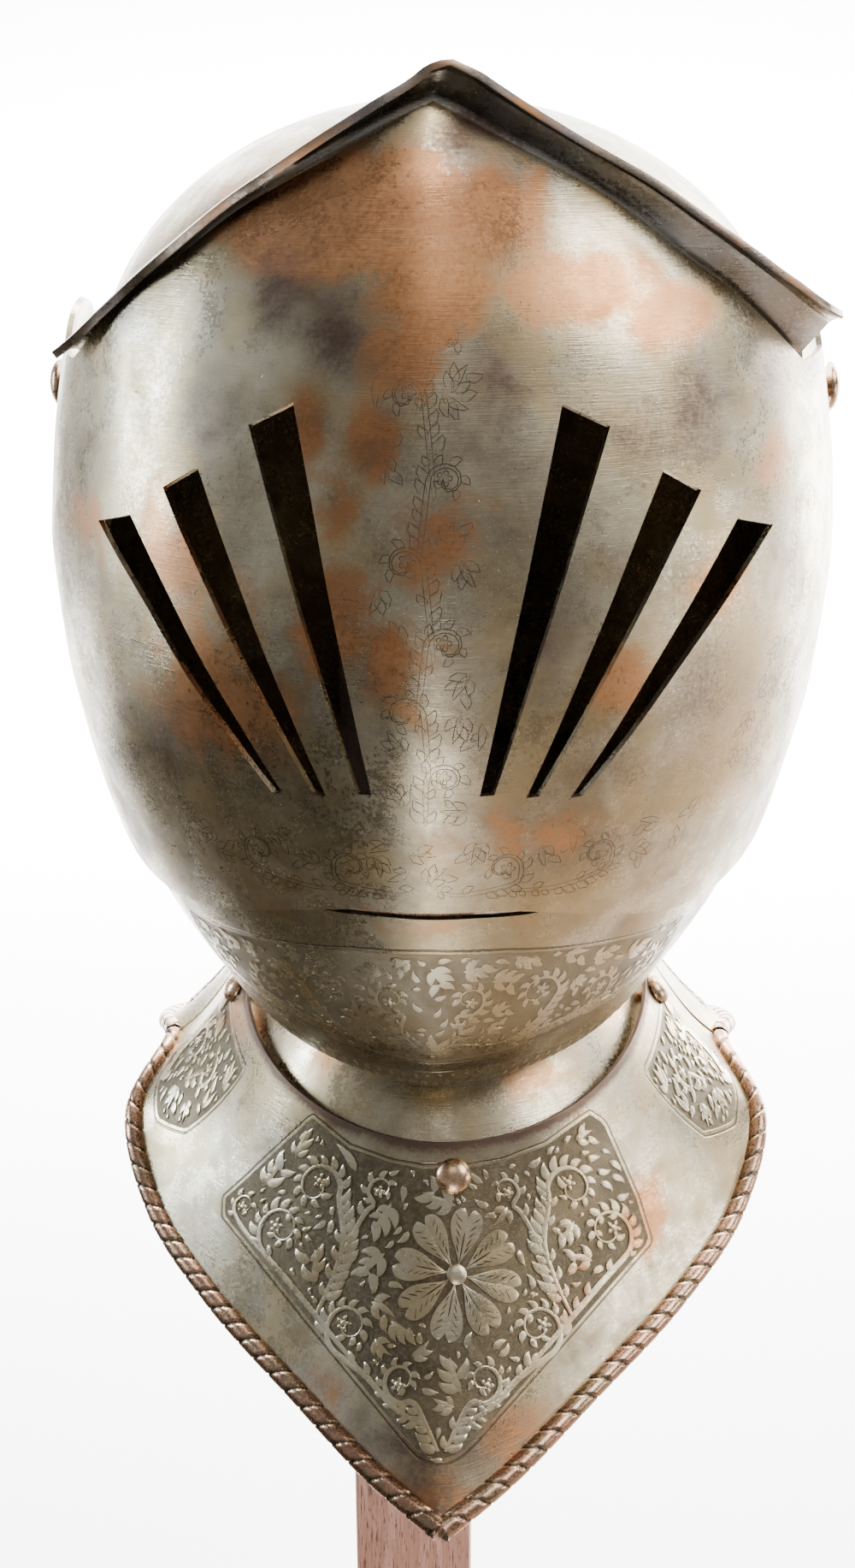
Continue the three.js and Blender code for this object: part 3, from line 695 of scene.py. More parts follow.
def slotOutline(slot, side):
    top, bottom = slot["top"], slot["bottom"]
    w, v, rise = slot["topWidth"] / 2, slot["bottomWidth"] / 2, slot["slope"] * slot["topWidth"] / 2
    corners = [(bottom[0] - v, bottom[1]), (bottom[0] + v, bottom[1]), (top[0] + w, top[1] - rise),
               (top[0] - w, top[1] + rise)]
    loop = evenly(corners, 1.1, closed=True)
    turn = np.arcsin(loop[:, 0] / visorHalfWidth(loop[:, 1]))
    return np.stack([side * turn * visor["scale"], loop[:, 1]], 1)


def makeVisor():
    holes = [slotOutline(slot, side) for slot in visor["slots"] for side in (1, -1)]
    return trimmedPlate("visor_plate", visorPoint, visorHalfOutline(), holes, visor)


bevor = {
    "spacing": 1.9, "scale": 100.0, "wave": 50, "ripple": 0.4, "seed": 8, "edge": 0.3, "hole": 3.4, "lobe": 17,
    "dents": [(-1, -122, 40, 14, 0.8)], "foot": -188, "reach": math.radians(104),
    "upperEdge": [
        (-121, -101), (-98, -112), (-78, -118), (-59, -113), (-52, -92), (-45, -60), (-32, -30), (-17, -10)],
    "backEdge": [(18, -30), (19, -90), (20, -150), (20.4, -168)],
    "gapDepth": 12.6, "gapTurn": 0.3, "gapEase": 0.4, "gapAbove": -140,
}


def bevorHalfOutline():
    lobe = bevor["lobe"] * towards(np.radians(np.linspace(168, -8, 40)))
    side = np.vstack([splinePoints(bevor["upperEdge"], 80), lobe, splinePoints(bevor["backEdge"], 40)])
    flat = turnFromSide(bevorPoint, side[:, 0], side[:, 1])
    flat = flat[flat[:, 0] > 0.03]
    flat[:, 0] = np.minimum(flat[:, 0], bevor["reach"])
    flat = flat[flat[:, 1] > bevor["foot"]]
    gap = np.maximum(bevor["gapDepth"] - 3 * (flat[:, 0] / bevor["gapTurn"]) ** 2, 0)
    closing = smoothStep((flat[:, 0] - 0.85 * bevor["gapTurn"]) / bevor["gapEase"])
    flat[:, 1] -= np.where(flat[:, 1] > bevor["gapAbove"], gap * (1 - closing), 0)  # the mouth's gap
    half = np.vstack([[(0, flat[0, 1])], flat, [(flat[-1, 0], bevor["foot"]), (0, bevor["foot"])]])
    return (half * (bevor["scale"], 1))[::-1]


def makeBevor():
    return trimmedPlate("bevor_plate", bevorPoint, bevorHalfOutline(), [], bevor, bevorPanelDepth)


# a flange out over the visor's edge; lean in degrees and depth along it, from its left end (-1) to its right (1)
peak = {
    "places": 181, "ends": 93, "rootDepth": 7, "thickness": 1.2, "hemShare": 0.3, "hemBend": 24, "sway": 4.5,
    "rightSlant": 6.5, "leftSlant": 3, "hemSwell": 0.9, "groove": 0.55, "edge": 0.25,
    "plateRows": (0.12, 0.3, 0.5, 0.68, 0.82, 0.91, 0.96, 1.0), "hemRows": (0.1, 0.28, 0.5, 0.68, 0.8, 0.9, 1.0),
    "lean": smoothTable([
        (-1, -25), (-0.83, -46), (-0.67, -44), (-0.5, -40), (-0.33, -34), (-0.17, -20), (-0.06, -4),
        (0.02, 10), (0.17, 8), (0.5, 6), (0.67, 8), (0.83, 12), (1, 28)]),
    "depth": smoothTable([
        (-1, 8), (-0.83, 4.4), (-0.67, 5.6), (-0.5, 4.8), (-0.33, 6), (-0.17, 5.7), (-0.06, 5), (0.02, 8.4),
        (0.08, 7.9), (0.17, 7.3), (0.33, 6.9), (0.5, 8.1), (0.67, 9.4), (0.83, 10.6), (1, 14)]),
}


def browFrame(x, z):
    step = 0.5
    reach = np.maximum(np.abs(x), 2 * step)
    slope = np.tanh(x / 2.2) * (browHeight(reach + step) - browHeight(reach - step)) / (2 * step)
    along = unit(visorAt(x + step, z + slope * step) - visorAt(x - step, z - slope * step))
    out = unit(np.cross(along, visorAt(x, z + step) - visorAt(x, z - step)))
    return out, along, unit(np.cross(out, along))


def makePeak():
    place = np.linspace(-1, 1, peak["places"])
    x = place * peak["ends"]
    z = browHeight(np.abs(x))
    out, along, up = browFrame(x, z)
    inset = form["plate"] + form["gap"]
    rise = form["gap"] + 0.2 + inset * np.maximum(out[:, 2], 0) / up[:, 2]
    top = visorAt(x, z) + up * rise[:, None]
    rootOut = browFrame(x, z - peak["rootDepth"])[0]
    root = visorAt(x, z - peak["rootDepth"]) - rootOut * inset
    edge = top - out * inset
    bend = top + out * form["gap"] + up * 0.5
    reach = peak["depth"](place)[:, None]
    endSlant = np.where(place > 0, peak["rightSlant"], peak["leftSlant"]) * place**9
    slant = along * (peak["sway"] * (1 - place**2) ** 4 - endSlant)[:, None]

    def leaning(angle):
        lean = np.radians(angle)[:, None]
        return out * np.cos(lean) + up * np.sin(lean)

    lean = peak["lean"](place)
    crease = bend + leaning(lean) * reach * (1 - peak["hemShare"]) + slant * 0.7
    lip = crease + leaning(lean - peak["hemBend"]) * reach * peak["hemShare"] + slant * 0.3
    wobble = ripple(crease, 26, 0.35, 21)
    plain = np.full(len(x), peak["thickness"])
    rows = [root + (edge - root) * t * 0.94 for t in np.linspace(0, 1, 4)]
    rows += [edge + (bend - edge) * t for t in (0.35, 0.7, 1.0)]
    thick = [plain] * len(rows)
    for t in peak["plateRows"]:  # out to the crease, with a groove along it on the right
        groove = math.exp(-(((t - 0.93) / 0.05) ** 2)) * smoothStep((place + 0.55) / 0.35)
        rows.append(bend + (crease - bend) * t)
        thick.append(plain + wobble * math.sin(math.pi * t) - peak["groove"] * groove)
    for t in peak["hemRows"]:  # the hem, thicker towards its lip
        hem = peak["hemSwell"] * math.exp(-(((t - 0.88) / 0.17) ** 2))
        rows.append(crease + (lip - crease) * t)
        thick.append(plain + hem + 0.5 * wobble)
    grid = np.stack(rows)
    normals = gridNormals(grid)
    thickness = np.stack(thick)[..., None]
    sink = smoothStep((np.arange(len(rows)) - 6) / 8)[:, None, None]
    grid = grid + normals * sink * np.maximum(thickness - 0.7, 0.4)
    points, faces = closedPlate(grid, normals * thickness, gridFaces(*grid.shape[:2]), 1.0)
    across = np.repeat(np.arange(len(rows)), len(x))
    hem, lipEdge = np.tile(np.clip((across - 14) / 4, 0, 1), 2), np.tile(across >= len(rows) - 2, 2)
    layers = wearLayers(points)
    layers["copper"] = np.maximum(0.35 * layers["copper"], 0.1 * hem + 0.3 * lipEdge)
    layers["stainAndShade"] = np.maximum(layers["stainAndShade"], 0.3 * hem)
    return plateObject("brow_flange", points, faces, layers, peak["edge"], 50)


# collar and gorget sit shifted and turned a little against the helmet
neck = {
    "shift": 1.0, "turn": math.radians(1.2), "rimLevel": -197.0, "halfWidth": 64, "front": 85, "back": 78,
    "collar": [  # height, half-width, front and back
        (-10, 65.2, 86.4, 79), (-4, 60.8, 81.4, 74.4), (2, 55.6, 75.4, 68.4), (8, 51, 69.2, 60), (14, 51, 69.2, 60)],
    "border": [
        (0, -148, -275), (18.5, -131.5, -270.5), (40.5, -108, -263.5), (68, -77, -255), (89.5, -47, -244),
        (99.5, -20, -226), (91, 8, -215), (97, 34, -221), (88, 70, -235), (50, 106, -248), (0, 128, -256)],
    "seam": 0.545, "seamGap": 0.0025, "columns": 180, "rows": 29, "edge": 0.3,
}


def neckPlace(p):
    c, s = math.cos(neck["turn"]), math.sin(neck["turn"])
    x, y, z = np.moveaxis(p, -1, 0)
    return np.stack([x * c - y * s + neck["shift"], x * s + y * c, z], -1)


def neckPoint(height, turn, halfWidth, front, back):
    c = np.cos(turn)
    y = np.where(c > 0, -front * c, -back * c)
    z = neck["rimLevel"] + (y + neck["front"]) * form["neckTilt"] + height
    return np.stack([halfWidth * np.sin(turn), y, z], -1)


def borderLine(count=60):
    # a centripetal curve through the border's points, with places counted by its length
    p = np.array(neck["border"], float)
    p = np.vstack([2 * p[0] - p[1], p, 2 * p[-1] - p[-2]])
    line = []
    for a, b, c, d in zip(p, p[1:], p[2:], p[3:]):
        ab, bc, cd = (math.sqrt(np.linalg.norm(v)) for v in (b - a, c - b, d - c))
        start = ((b - a) / ab - (c - a) / (ab + bc) + (c - b) / bc) * bc
        end = ((c - b) / bc - (d - b) / (bc + cd) + (d - c) / cd) * bc
        t = np.linspace(0, 1, count, endpoint=False)[:, None]
        line.append(b + start * t + (3 * (c - b) - 2 * start - end) * t**2 + (2 * (b - c) + start + end) * t**3)
    line = np.vstack([*line, p[-2:-1]])
    length = np.concatenate([[0], np.cumsum(np.linalg.norm(np.diff(line, axis=0), axis=1))])
    return line, length / length[-1], length[-1]


borderCurve, borderShare, borderLength = borderLine()


def gorgetPoint(share, down):
    # share: 0 at the front, over the right shoulder to 1 at the back; down: 0 at the neck, 1 at the border
    share, down = np.broadcast_arrays(np.asarray(share, float), np.asarray(down, float))
    wrapped = np.where(share > 1, share - 2, share)
    t = np.abs(wrapped)
    upper = neckPoint(0, t * math.pi, neck["halfWidth"], neck["front"], neck["back"])
    lower = np.stack([np.interp(t, borderShare, borderCurve[:, k]) for k in range(3)], -1)
    p = upper + (lower - upper) * down[..., None]
    p[..., 2] -= 3 * np.sin(math.pi * down)
    p[..., 0] *= np.where(wrapped < 0, -1, 1)
    return neckPlace(p)


def gorgetNormal(share, down):
    step = 0.006
    run = gorgetPoint(share + step, down) - gorgetPoint(share - step, down)
    up = gorgetPoint(share, down - 0.03) - gorgetPoint(share, down + 0.03)
    return unit(np.cross(run, up))


def makeCollar():
    rows, columns = neck["rows"], neck["columns"]
    turns = np.linspace(-math.pi, math.pi, columns + 1)[:-1]
    profile = splinePoints(neck["collar"], rows)
    grid = neckPlace(np.stack([neckPoint(h, turns, w, f, b) for h, w, f, b in profile]))
    faces = gridFaces(rows, columns, ring=True)
    points, faces = closedPlate(grid, gridNormals(grid, ring=True), faces, form["plate"])
    layers = wearLayers(points)
    foot = np.tile(np.repeat(np.linspace(0, 1, rows), columns), 2)
    layers["copper"] = np.maximum(layers["copper"], 0.5 * (1 - smoothStep(foot / 0.3)))
    return plateObject("collar_band", points, faces, layers, neck["edge"])


# the last entry is how far down from the neck the collar's painted shadow reaches
gorget = {"softRidge": 0.05, "rows": 34, "spacing": 1.9, "ripple": 0.35, "edge": 0.3, "paintedCollarShade": 0.06}


def makeGorgetPlate(name, first, last):
    columns = int((last - first) * borderLength / gorget["spacing"])
    down, share = np.meshgrid(np.linspace(1, 0, gorget["rows"]), np.linspace(first, last, columns), indexing="ij")
    grid = gorgetPoint(share, down)
    soft = gorget["softRidge"] * np.sqrt(np.sin(math.pi * np.clip(down, 0, 1)))  # rounds the ridge between its ends
    near = [gorgetPoint(share + k * soft, down) for k in (-1, -0.6, -0.3, 0, 0.3, 0.6, 1)]
    grid[..., 1:] = np.mean(near, axis=0)[..., 1:]
    normals = gridNormals(grid)
    grid = grid + normals * (ripple(grid, 44, gorget["ripple"], 13) * (1 - down) * down * 4)[..., None]
    points, faces = closedPlate(grid, normals, gridFaces(*grid.shape[:2]), form["plate"])
    layers = wearLayers(points)
    layers["panel"] = np.tile(panelDepth(share, down).ravel(), 2)
    paintedCollarShade = 1.3 * (1 - smoothStep(down.ravel() / gorget["paintedCollarShade"]))  # painted shadow: dark along the collar, where the collar shades the gorget
    layers["stainAndShade"] = np.maximum(layers["stainAndShade"], np.tile(paintedCollarShade, 2))
    return plateObject(name, points, faces, layers, gorget["edge"])


leafwork = {
    "sunk": 0.3, "shoulder": 0.72, "stemStep": 0.85, "spiralIn": 0.24, "lobeEvery": 2.5, "petalPoints": 26,
    "lobeReaches": (1.0, 0.8, 0.62, 0.45), "sprayReaches": (0.62, 0.5, 0.38), "sprayPlaces": (0.15, 0.42, 0.68),
}


class Relief:
    # etched ornament: leaves, stems and petals drawn flat in millimetres inside a loop, then laid on a plate

    def __init__(self, seed, height, loop=None, margin=0.8):
        self.points, self.heights, self.faces, self.taken, self.shapes = [], [], [], [], []
        self.draw, self.height, self.loop, self.margin = np.random.default_rng(seed), height, loop, margin

    def within(self, line):
        return bool(np.all(polygonDepth(line, self.loop) > self.margin))

    def stroke(self, line, widths, height=None):
        # a closed ribbon with a rounded back, pointed where its width goes to nothing
        line, widths = np.asarray(line, float), np.maximum(widths, 0.04)
        height = (height or self.height) * self.draw.uniform(0.93, 1.07)
        heading = unit(np.gradient(line, axis=0))
        side = np.stack([-heading[:, 1], heading[:, 0]], 1)
        first, count = sum(map(len, self.points)), len(line)
        narrower, rise = widths - 0.35 * np.minimum(widths, 0.3), np.minimum(1, widths / 0.35)
        shoulder = height * leafwork["shoulder"] * rise
        foot = np.full(count, -leafwork["sunk"])
        for offset, level in ((widths, foot), (narrower, shoulder), (0 * widths, height * rise),
                              (-narrower, shoulder), (-widths, foot)):
            self.points.append(line + side * offset[:, None])
            self.heights.append(level)
        for ring in range(5):
            a, b = first + ring * count, first + (ring + 1) % 5 * count
            self.faces += [(a + i, a + i + 1, b + i + 1, b + i) for i in range(count - 1)]
        self.shapes.append(np.vstack([line + side * widths[:, None], (line - side * widths[:, None])[::-1]]))
        self.faces.append(tuple(first + r * count for r in range(5)))
        self.faces.append(tuple(first + r * count + count - 1 for r in range(4, -1, -1)))

    def hold(self, line, widths):
        self.taken += [(x, y, w) for (x, y), w in zip(line, widths)]

    def fits(self, line, widths, gap):
        if not self.taken:
            return True
        taken = np.array(self.taken)
        away = np.hypot(taken[:, :1] - line[:, 0], taken[:, 1:2] - line[:, 1])
        return bool(np.all(away > taken[:, 2:] + widths + gap))

    def lobe(self, at, heading, length, width, bend, gap=0.35, loose=False, bound=True):
        # one leaf lobe: a bent drop that springs from a stem, or stands loose
        t = np.linspace(0, 1, 7)
        steps = length / 6 * towards(heading + bend * t[:-1])
        line = np.array(at) + np.vstack([[0, 0], np.cumsum(steps, axis=0)])
        widths = width * (0.25 * (1 - t) + np.sin(math.pi * t**0.75) ** 0.8)
        widths[-1] = 0.05
        if loose:
            widths[0] = 0.05
        tested, kept = (0, 1) if loose else (4, 2)
        if not self.fits(line[tested:], widths[tested:], gap) or (bound and not self.within(line[tested:])):
            return False
        self.stroke(line, widths)
        self.hold(line[kept:], widths[kept:])
        return True

    def longest(self, reaches, at, heading, size, share, bend, gap):
        # the longest of a few lobes that has room
        for reach in reaches:
            if self.lobe(at, heading, size * reach, share * (size * reach) + 0.3, bend, gap):
                return

    def scroll(self, route, centre, radius, start, turn, width, lobeSize, every=None):
        # a stem along a route that winds into a spiral, leaf lobes along both sides and a bud in the middle
        every, step = every or leafwork["lobeEvery"], leafwork["stemStep"]
        t = np.linspace(0, 1, max(14, int(radius * abs(turn) / 1.3)))
        r = radius * leafwork["spiralIn"] ** t
        spiral = np.array(centre) + r[:, None] * towards(start + turn * t)
        rough = np.vstack([route, spiral[::3], spiral[-1:]])
        line = evenlySpaced(splinePoints(rough, 12 * len(rough)), step)
        count = len(line)
        share = np.linspace(0, 1, count)
        heading = np.unwrap(np.arctan2(*np.gradient(line, axis=0).T[::-1]))
        widths = width * (0.5 + 0.5 * np.sin(math.pi * np.minimum(share * 1.15, 1))) * (1 - 0.4 * share)
        self.stroke(line, widths)
        self.hold(line, widths)
        way = np.sign(turn)
        for k in range(int(count * step / every)):
            i = int((k + 0.6) * every / step)
            if i >= count - 2:
                break
            for side, lean, ease in ((-way, 1.35, 1.0), (way, 1.25, 0.7)):
                if side == way and k % 2:
                    continue
                size = lobeSize * (1 - 0.5 * share[i]) * self.draw.uniform(0.85, 1.15) * ease
                facing = heading[i] + side * lean
                self.longest(leafwork["lobeReaches"], line[i], facing, size, 0.17, -side * 1.3, 0.16)
        for k in range(5):
            a = k * 2 * math.pi / 5
            self.lobe(line[-1] + 0.8 * towards(a), a, 0.2 * radius, 0.55, 0.2, -9)
        self.boss(line[-1], 1.0, self.height * 1.3)

    def winds(self, side, stems, width, lobeSize):
        # scrolls on one side of a middle line, mirrored for the other; a stem may have its own width and lobes
        for route, centre, radius, start, turn, *own in stems:
            angle = math.radians(start) if side > 0 else math.pi - math.radians(start)
            self.scroll(np.array(route, float) * (side, 1), np.array(centre) * (side, 1), radius, angle,
                        side * math.radians(turn), *(own or (width, lobeSize)))

    def comb(self, at, heading, length, spread):
        # a spray: one long leaf with shorter ones leaning off it on both sides
        if self.lobe(at, heading, length, 0.07 * length + 0.35, spread * 0.5, 0.9, loose=True):
            for k in leafwork["sprayPlaces"]:
                turn = heading + spread * 0.5 * k
                foot = np.array(at) + length * k * towards(turn)
                for side in (1, -1):
                    self.longest(leafwork["sprayReaches"], foot, turn + side * 1.3, length, 0.16, -side * 1.2, 0.12)

    def boss(self, at, radius, height, sides=14):
        first, ring = sum(map(len, self.points)), circle(1.0, sides)
        for share, level in ((1.0, -leafwork["sunk"]), (1.0, 0.45 * height), (0.8, 0.8 * height), (0.4, height)):
            self.points.append(np.array(at) + ring * radius * share)
            self.heights.append(np.full(sides, level))
        self.faces += (gridFaces(4, sides, ring=True) + first).tolist()
        self.faces.append(tuple(first + 3 * sides + i for i in range(sides)))
        self.faces.append(tuple(first + i for i in range(sides - 1, -1, -1)))
        self.taken.append((*at, radius))

    def petal(self, at, heading, length, width, height):
        # a heart-shaped petal: two strokes side by side, with a notch at the outer end
        t = np.linspace(0, 1, leafwork["petalPoints"])
        half = width * np.sin(math.pi * t**1.5 * 0.8) ** 0.9 + 0.3
        roundEnd = np.sqrt(np.clip(1.02 - np.clip((t - 0.84) / 0.16, 0, 1) ** 2, 0.02, 1))
        along, across = towards(heading), towards(heading + math.pi / 2)
        for side in (1, -1):
            mid = np.array(at) + along * (length * t[:, None]) + across * (side * 0.24 * half)[:, None]
            widths = 0.27 * half * roundEnd - 0.02
            self.stroke(mid, widths, height)
            self.hold(mid, widths)

    def thrown(self, tries, flow, sway):
        # places and headings thrown at random over the panel
        for _ in range(tries):
            at = self.draw.uniform(self.loop.min(0), self.loop.max(0))
            yield at, flow(at) + self.draw.uniform(*sway)

    def sprays(self, tries, lengths, flow, sway):
        for length in lengths:
            for at, heading in self.thrown(tries, flow, sway):
                self.comb(at, heading, length, self.draw.choice([-1.2, 1.2]))

    def fill(self, tries, sizes, flow):
        # small leaves in the gaps, turned with the stems round them
        for size in sizes:
            for at, heading in self.thrown(tries, flow, (-0.5, 0.5)):
                bend = self.draw.choice([-1.0, 1.0]) * self.draw.uniform(0.5, 1.5)
                self.lobe(at, heading, size, 0.15 * size + 0.2, bend, 0.25, loose=True)

    def build(self, name, lay):
        points = lay(np.vstack(self.points), np.concatenate(self.heights))
        obj = faceOutwards(makeObject(name, points, self.faces, wearLayers(points)))
        smoothShade(obj, 50)
        return obj


def polygonDepth(points, loop):
    # distance to an outline, positive inside it
    a, b = loop, np.roll(loop, -1, axis=0)
    best = np.full(len(points), 1e9)
    for p, q in zip(a, b):
        way = q - p
        t = np.clip(((points - p) @ way) / (way @ way), 0, 1)
        best = np.minimum(best, np.linalg.norm(points - p - t[:, None] * way, axis=1))
    return np.where(inside(points, loop), best, -best)


def settle(tree, starts, ways, heights):
    # drops points onto a plate along their own directions and raises them by their heights
    placed = np.empty_like(starts)
    for i, (p, way, h) in enumerate(zip(starts, ways, heights)):
        hit = tree.ray_cast(Vector(p - way * 40), Vector(way))
        if hit[0] is None:
            hit = tree.find_nearest(Vector(p))
        placed[i] = np.array(hit[0]) + np.array(hit[1]) * h
    return placed


# The gorget's panels, on a plane that touches its front or back: x across, q down from the neck.
panels = {
    "front": np.array([
        (-38, -8), (-27, 1), (-15, 5.5), (-6, 7.2), (6, 7.2), (17, 5), (29, 0), (42, -10),
        (46, -8), (56, 12), (60, 24), (5, 82), (0, 86), (-6, 82), (-66, 17), (-66, 12)], float),
    "side": [(0.345, 0.15), (0.485, 0.14), (0.5, 0.8), (0.425, 0.8), (0.385, 0.62)],
    "sideScale": (300.0, 46.0), "height": 0.42,
    "stems": [  # route, middle, radius, start and turn in degrees, then width and lobe length
        ([(1, 81), (4, 75)], (11, 63), 6.8, 120, -430, 1.1, 5),
        ([(4, 75), (13, 70), (21, 62)], (26, 49), 8, 65, -450),
        ([(23, 60), (34, 48), (44, 37)], (47, 22), 8.6, 60, -450),
        ([(36, 46), (31, 36), (28, 26)], (36.5, 11), 8.2, 150, 440),
        ([(28, 29), (22, 19)], (17, 12.5), 4.8, 60, -380, 0.9, 4.5),
    ],
    "swirls": [(12, 66), (28, 51), (48, 24), (37, 13), (17, 11)],  # the small leaves turn round these
    "leftStem": [([(50, 31), (57, 24)], (59, 14.5), 4.6, 60, -400, 0.9, 4.5)],
}


def planeOf(share):
    # a plane along the gorget's middle line at the front or the back
    top, tip = gorgetPoint(share, 0.0), gorgetPoint(share, 1.0)
    down = unit(tip - top)
    across = unit(np.array([1.0, 0, 0]) if share == 0 else np.array([-1.0, 0, 0]))
    across = unit(across - down * (across @ down))
    return top, across, down, np.cross(down, across)


def toPlane(points, plane):
    top, across, down, _ = plane
    return np.stack([(points - top) @ across, (points - top) @ down], 1)


frontPlane, backPlane = planeOf(0.0), planeOf(1.0)


def sideLoop():
    return np.array(panels["side"]) * panels["sideScale"]


def panelDepth(share, down):
    # millimetres inside (+) or outside (-) the etched panels
    points = gorgetPoint(share, down).reshape(-1, 3)
    depth = np.full(len(points), -9.0)
    for plane, facing in ((frontPlane, -1), (backPlane, 1)):
        near = points[:, 1] * facing > -12
        found = polygonDepth(toPlane(points, plane), panels["front"] * (1 if facing < 0 else 0.97))
        depth = np.where(near, np.maximum(depth, found), depth)
    wrapped = np.where(share > 1, share - 2, share).ravel()
    for side in (1, -1):
        for low, high, mirror in ((0, 0.545, 0), (0.545, 1, 1)):
            t = side * wrapped
            own = (t > low) & (t <= high)
            t = 1.09 - t if mirror else t
            flat = np.stack([t, np.ravel(down)], 1) * panels["sideScale"]
            depth = np.where(own, np.maximum(depth, polygonDepth(flat, sideLoop())), depth)
    return depth.reshape(np.shape(share))


def petalVeins(flowerAt, a):
    # short curved cuts that fan out over a petal
    flower, along, across = np.array(flowerAt), towards(a), towards(a + math.pi / 2)
    lines = [flower + np.linspace(3.6, 12.5, 10)[:, None] * along]
    t = np.linspace(0, 1, 6)
    for side in (-1, 1):
        for k in range(5):
            away = 5.2 + 2.1 * k + (3.4 - 0.2 * k) * t
            drift = side * (0.5 + (1.3 + 0.5 * k) * t**0.8)
            lines.append(flower + away[:, None] * along + drift[:, None] * across)
    return lines


def engraving(seed, lines, width, height):
    cut = Relief(seed, height)
    for line in lines:
        cut.stroke(line, width * (0.35 + 0.65 * np.sin(math.pi * np.linspace(0, 1, len(line)))))
    return cut


def outlinesOf(relief):
    return [np.vstack([shape[::2], shape[:1]]) for shape in relief.shapes]


def drawCentralPanel(seed, flowerAt):
    relief = Relief(seed, panels["height"], panels["front"])
    for k in range(8):
        a = k * math.pi / 4 + 0.2
        relief.petal(np.array(flowerAt) + 2.5 * towards(a), a, 15.2, 8.5, panels["height"] * 1.15)
    relief.boss(flowerAt, 2.7, 1.1, 20)
    relief.veins = [petalVeins(flowerAt, k * math.pi / 4 + 0.2) for k in range(8)]
    for side in (1, -1):
        relief.winds(side, panels["stems"] + (panels["leftStem"] if side < 0 else []), 1.15, 6.5)
    centres = np.array([(x * side, q) for side in (1, -1) for x, q in panels["swirls"]])

    def flow(at):
        away = at - centres[np.argmin(np.linalg.norm(centres - at, axis=1))]
        return math.atan2(away[1], away[0]) + 0.8

    relief.sprays(420, (10.0, 8.0, 6.5), flow, (-0.4, 0.4))
    relief.fill(900, (4.6, 3.2, 2.2), flow)
    return relief


def drawSidePanel(seed):
    loop = sideLoop()
    relief = Relief(seed, panels["height"], loop)
    low, high = loop.min(0), loop.max(0)
    x, q = low[0], high[1]
    relief.scroll([(x + 34, q - 2), (x + 40, q - 8)], (x + 33, q - 17), 6.5, 0.2, -6.8, 1.1, 5.5)
    relief.scroll([(x + 26, q - 12), (x + 21, q - 18)], (x + 19, low[1] + 9), 5, 1.8, 6.6, 1.0, 4.5)

    def flow(at):
        away = at - (low + high) / 2
        return math.atan2(away[1], away[0]) + 0.8

    relief.sprays(160, (7.0, 5.5), flow, (-0.5, 0.5))
    relief.fill(500, (4.0, 2.8, 2.0), flow)
    return relief


bevorPanel = {
    "loop": [
        (0, -126), (20, -127), (45, -131), (66, -134), (84, -136), (84, -156), (60, -161), (30, -164.5), (0, -166)],
    "scale": 95.0, "height": 0.16, "strip": (-173.5, -186.5), "stripReach": 92, "scallop": 4.6,
    "stems": [
        ([(4, -160), (9, -153)], (11, -141), 6.5, -120, 420),
        ([(10, -158), (22, -160), (32, -154)], (31, -142.5), 7, -20, 420),
        ([(30, -158), (42, -157)], (52, -148), 6.5, -60, 420),
        ([(50, -157), (62, -156)], (71, -147), 6.2, -60, 420),
    ],
}


def bevorLoop():
    return mirrored(np.array(bevorPanel["loop"], float))


def drawBevorPanel(seed):
    relief = Relief(seed, bevorPanel["height"], bevorLoop(), 0.7)
    for k in range(5):  # a shell at the foot of the middle
        a = math.radians(90 + (k - 2) * 33)
        relief.lobe(np.array((0, -163.5)) + 1.6 * towards(a), a, 9.0, 1.75, 0.0, -9, bound=False)
    relief.boss((0, -163.6), 1.5, bevorPanel["height"])
    for side in (1, -1):
        relief.winds(side, bevorPanel["stems"], 0.9, 5.5)

    def flow(at):
        return 0.4 * math.sin(at[0] / 9) + (0 if at[0] > 0 else math.pi)

    relief.sprays(300, (8.0, 6.0), flow, (-0.9, 0.9))
    relief.fill(500, (4.0, 2.8), flow)
    top, bottom = bevorPanel["strip"]
    reach = bevorPanel["stripReach"]
    for x in np.arange(-reach, reach, bevorPanel["scallop"]):  # scalloped strip below
        relief.lobe((x, bottom + 1.6), math.pi / 2 - 0.25, 6.6, 1.25, 0.5, -9, bound=False)
        relief.lobe((x + 2.3, top - 1.4), -math.pi / 2 + 0.3, 3.6, 0.8, -0.4, -9, bound=False)
    return relief


